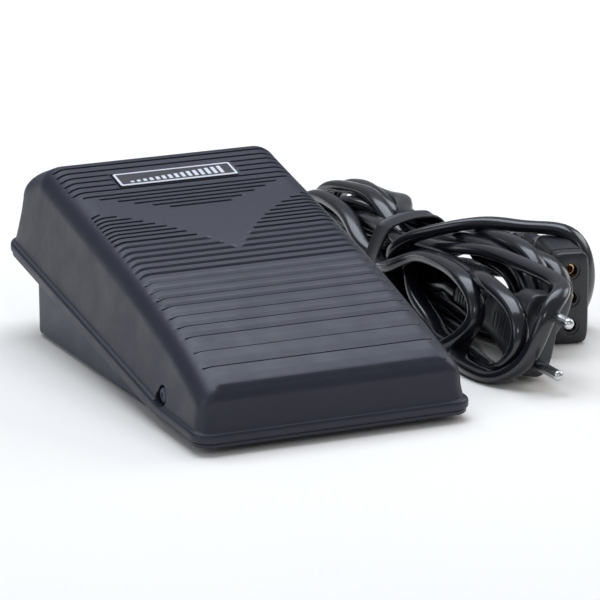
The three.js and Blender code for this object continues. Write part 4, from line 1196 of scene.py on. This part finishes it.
# a bar whose upper face follows high(y); its lower face is flat or follows low(y)
def bar(x0, x1, y0, y1, low, high, steps=24):
    rings = []
    for y in np.linspace(y0, y1, steps):
        z0 = low(y) if callable(low) else low
        rings.append(np.array([(x0, y, z0), (x1, y, z0), (x1, y, high(y)), (x0, y, high(y))]))
    return skin_rings(rings)


PUSHER_LOW = 43.5                   # underside of the cross that meets the plunger
STIFFENER_X = 24


# ribs inside the treadle: the cross that bears on the plunger and two long stiffeners
def make_treadle_ribs():
    def under_top(y):
        return top_line(y) - SHELL + 0.4

    y = PLUNGER_Y
    parts = [bar(-7, 7, y - 1.2, y + 1.2, PUSHER_LOW, under_top, 3),
             bar(-1.2, 1.2, y - 7, y + 7, PUSHER_LOW, under_top, 6)]
    for x in (-STIFFENER_X, STIFFENER_X):
        parts.append(bar(x - 0.9, x + 0.9, -40, 26, lambda v: top_line(v) - SHELL - 3.2, under_top))
    points, faces = merge(*parts)
    settle(make_object("treadle_ribs", points, faces), "treadle", "treadle_plastic")


make_treadle_ribs()


# ---------------------------------------------------------------- base
SCREW_SPOTS = ((-27, -70), (27, -70), (-37, 50), (37, 50))
BOARD_SPOTS = ((-31, -20), (31, -20), (-31, 13))
VENTS = {"count": 9, "pitch": 3.0, "half": 0.6, "front": -14, "rear": 4}
BOSS_SPAN = (38.0, 52.0)            # the bosses' bores run between these distances from the middle
FOOT_SPOTS = {"fl": (-37, -71), "fr": (37, -71), "rl": (-37, 63), "rr": (37, 63)}


def cover_top(y):
    return COVER["z0"] + COVER["slope"] * (y - TRAY["front"])


def shoulder_top(y):
    return SHOULDER["z0"] + SHOULDER["slope"] * (y - TRAY["front"])


# the round holes in which the two pivot bosses sit
def bore_for_bosses(piece):
    for side in (-1, 1):
        x0, x1 = sorted((side * BOSS_SPAN[0], side * BOSS_SPAN[1]))
        carve(piece, *cylinder(PIVOT["pin_r"] + 0.3, x0, x1, (0, PIVOT["y"], PIVOT["z"]), "X", 48, 0.01))


def make_tray():
    rows = list(np.linspace(-72, 64, 35))
    places = side_places(rows)
    columns = np.linspace(-1, 1, 33)
    w, front, rear, bottom = TRAY["half_w"], TRAY["front"], TRAY["rear"], TRAY["bottom"]
    neck = NECK["in"]
    inside = neck + NECK["wall"]

    def ring(inward, corner, height, draft=False):
        flat = ring_of(side_points(places, w - inward, front + inward, rear - inward, corner), columns)
        out = []
        for x, y, _, _ in flat:
            z = height(y)
            lean = math.copysign(TRAY["draft"] * (z - bottom), x) if draft else 0.0
            out.append((x + lean, y, z))
        return np.array(out)

    def rim(y):
        return cover_top(y) - COVER["thick"] - 0.3

    outer = [ring(1.0, 5.5, lambda y: bottom), ring(0.45, 6.0, lambda y: bottom + 0.14),
             ring(0.12, 6.4, lambda y: bottom + 0.5), ring(0.0, 6.5, lambda y: bottom + 1.0)]
    outer += [ring(0.0, 6.5, lambda y, p=p: bottom + 1 + (shoulder_top(y) - 1.4 - bottom) * p, True)
              for p in (0.5, 1.0)]
    outer += [ring(0.12, 6.4, lambda y: shoulder_top(y) - 0.12, True), ring(0.4, 6.1, shoulder_top, True),
              ring(neck - 0.2, 5.2, shoulder_top), ring(neck, 5, lambda y: shoulder_top(y) + 0.15),
              ring(neck, 5, lambda y: max(shoulder_top(y) + 0.3, rim(y) - 0.3)), ring(neck + 0.3, 4.8, rim)]
    inner = [ring(inside - 0.2, 3.6, rim), ring(inside, 3.5, lambda y: rim(y) - 0.3),
             ring(inside, 3.5, lambda y: bottom + TRAY["floor"] + 0.6),
             ring(inside + 0.6, 3.0, lambda y: bottom + TRAY["floor"])]
    underside = lid_of(outer[0], len(places), columns, lambda x, y: bottom)
    floor = lid_of(inner[-1], len(places), columns, lambda x, y: bottom + TRAY["floor"])
    points, faces = merge(band([*outer, *inner]), underside, floor)
    piece = make_object("tray_body", points, faces)
    cuts = [cylinder(3.6, 0, 1.9, (x, y, 0), "Z", 40, 0.15) for x, y in SCREW_SPOTS]
    cuts += [cylinder(5.8, 0, bottom + 0.9, (x, y, 0), "Z", 48, 0.1) for x, y in FOOT_SPOTS.values()]
    for k in range(VENTS["count"]):
        x = (k - (VENTS["count"] - 1) / 2) * VENTS["pitch"]
        cuts.append(bar(x - VENTS["half"], x + VENTS["half"], VENTS["front"], VENTS["rear"],
                        -1, lambda y: 6.0, 2))
    # the opening for the lead's strain relief
    cuts.append(bar(EXIT[0] - 4.3, EXIT[0] + 4.3, rear - 5, rear + 4,
                    EXIT[1] - 3.3, lambda y: EXIT[1] + 3.3, 2))
    carve(piece, *merge(*cuts))
    bore_for_bosses(piece)
    settle(piece, "base", "base_plastic", "base_tray")

    # posts, bearings and guides that stand on the tray's floor
    on_floor = bottom + TRAY["floor"]
    posts = [cylinder(4.4, on_floor, cover_top(y - 5) - COVER["thick"] - 0.4, (x, y, 0), "Z", 40, 0.2)
             for x, y in SCREW_SPOTS]
    posts += [cylinder(3.0, on_floor, 7.4, (x, y, 0), "Z", 32, 0.2) for x, y in BOARD_SPOTS]
    posts.append(cylinder(2.6, on_floor, 20, (0, PLUNGER_Y, 0), "Z", 32, 0.3))
    posts += [cylinder(3.2, on_floor, 4.6, (EXIT[0] + s * 9, 60, 0), "Z", 32, 0.2) for s in (-1, 1)]
    # the two ears that hold the pivot bosses, against the inside of the side walls
    for side in (-1, 1):
        x0, x1 = sorted((side * EAR["x0"], side * EAR["x1"]))
        posts.append(bar(x0, x1, EAR["y0"], EAR["y1"], on_floor, lambda y: EAR["top"], 2))
    points, faces = merge(*posts)
    fittings = make_object("tray_posts", points, faces)
    bore_for_bosses(fittings)
    settle(fittings, "base", "base_plastic")


make_tray()


# four rubber feet with a dished sole
def make_foot(corner):
    x, y = FOOT_SPOTS[corner]
    profile = [(5.35, 1.85), (5.5, 1.7), (5.5, 0.55), (5.35, 0.2), (5.0, 0.0), (3.6, 0.0), (3.3, 0.12),
               (2.9, 0.4), (1.2, 0.5)]
    rings = []
    for r, z in profile:
        section = superellipse(r, r, 2, 48)
        rings.append(np.stack([x + section[:, 0], y + section[:, 1], np.full(48, z)], 1))
    points, faces = skin_rings(rings)
    settle(make_object(f"foot_{corner}", points, faces), "base", "foot_rubber", f"rubber_foot_{corner}")


for foot_corner in FOOT_SPOTS:
    make_foot(foot_corner)


# the boss on which the treadle turns, domed where it shows in the key-shaped opening
def make_boss(name, side):
    pin_r = PIVOT["pin_r"]
    profile = [(4.2, 38.4), (4.4, 38.6), (4.4, 40.3), (4.2, 40.5), (pin_r, 40.6), (pin_r, 47.0),
               (pin_r - 0.3, 47.6), (pin_r - 0.9, 47.9), (1.2, 48.0), (1.0, 47.6)]
    rings = []
    for r, x in profile:
        section = superellipse(r, r, 2, 48)
        y, z = PIVOT["y"] + section[:, 0], PIVOT["z"] + section[:, 1]
        rings.append(np.stack([np.full(48, side * x), y, z], 1))
    points, faces = skin_rings(rings)
    settle(make_object(f"pivot_boss_{name}", points, faces), "base", "base_plastic", f"pivot_pin_{name}")


make_boss("left", -1)
make_boss("right", 1)

# ---------------------------------------------------------------- CAD pieces that show as they are
replaced = {name for piece in bpy.data.objects for name in piece.get("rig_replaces", [])}
for node_name, cad_piece in frame["nodes"].items():
    if node_name not in replaced:
        cad_piece.data.materials.clear()
        cad_piece.data.materials.append(MATERIALS[NODE_SLOT[node_name]])


# ---------------------------------------------------------------- studio
def make_floor():
    mesh = bpy.data.meshes.new("floor")
    half = 6.0
    corners = [(-half, -half, 0), (half, -half, 0), (half, half, 0), (-half, half, 0)]
    mesh.from_pydata(corners, [], [(0, 1, 2, 3)])
    floor = bpy.data.objects.new("floor", mesh)
    bpy.context.scene.collection.objects.link(floor)
    m = Nodes("floor_paper")
    m.drive("Base Color", m.ramp(m.noise(3, 2), [(0.3, (0.96, 0.92, 0.86)), (0.7, (0.99, 0.95, 0.89))]))
    m.fix(Roughness=0.9, Specular_IOR_Level=0.1)
    mesh.materials.append(m.material)


def make_light(name, spot, aim, size, power, color=(1, 1, 1)):
    data = bpy.data.lights.new(name, "AREA")
    data.shape = "RECTANGLE"
    data.size, data.size_y = size
    data.energy = power
    data.color = color
    lamp = bpy.data.objects.new(name, data)
    lamp.matrix_world = (Matrix.Translation(spot)
                         @ (Vector(spot) - Vector(aim)).to_track_quat("Z", "Y").to_matrix().to_4x4())
    bpy.context.scene.collection.objects.link(lamp)


def make_world():
    world = bpy.data.worlds.new("studio")
    world.use_nodes = True
    background = world.node_tree.nodes["Background"]
    background.inputs["Color"].default_value = (0.88, 0.93, 1.0, 1.0)
    background.inputs["Strength"].default_value = 0.32
    bpy.context.scene.world = world


make_floor()
make_world()
COOL = (0.82, 0.89, 1.0)
make_light("overhead", (0.1, 0.5, 1.6), (0, 0, 0), (1.7, 1.3), 26, COOL)
make_light("left", (-1.6, -0.3, 0.75), (0, 0, 0.02), (1.2, 0.9), 5, COOL)
make_light("front_glint", (-0.3, -1.4, 0.9), (0.05, 0, 0), (0.14, 0.25), 1.6)
make_light("right_fill", (1.5, 0.2, 0.9), (0, 0, 0), (1.0, 0.8), 7)
bpy.context.scene.view_settings.view_transform = "Standard"
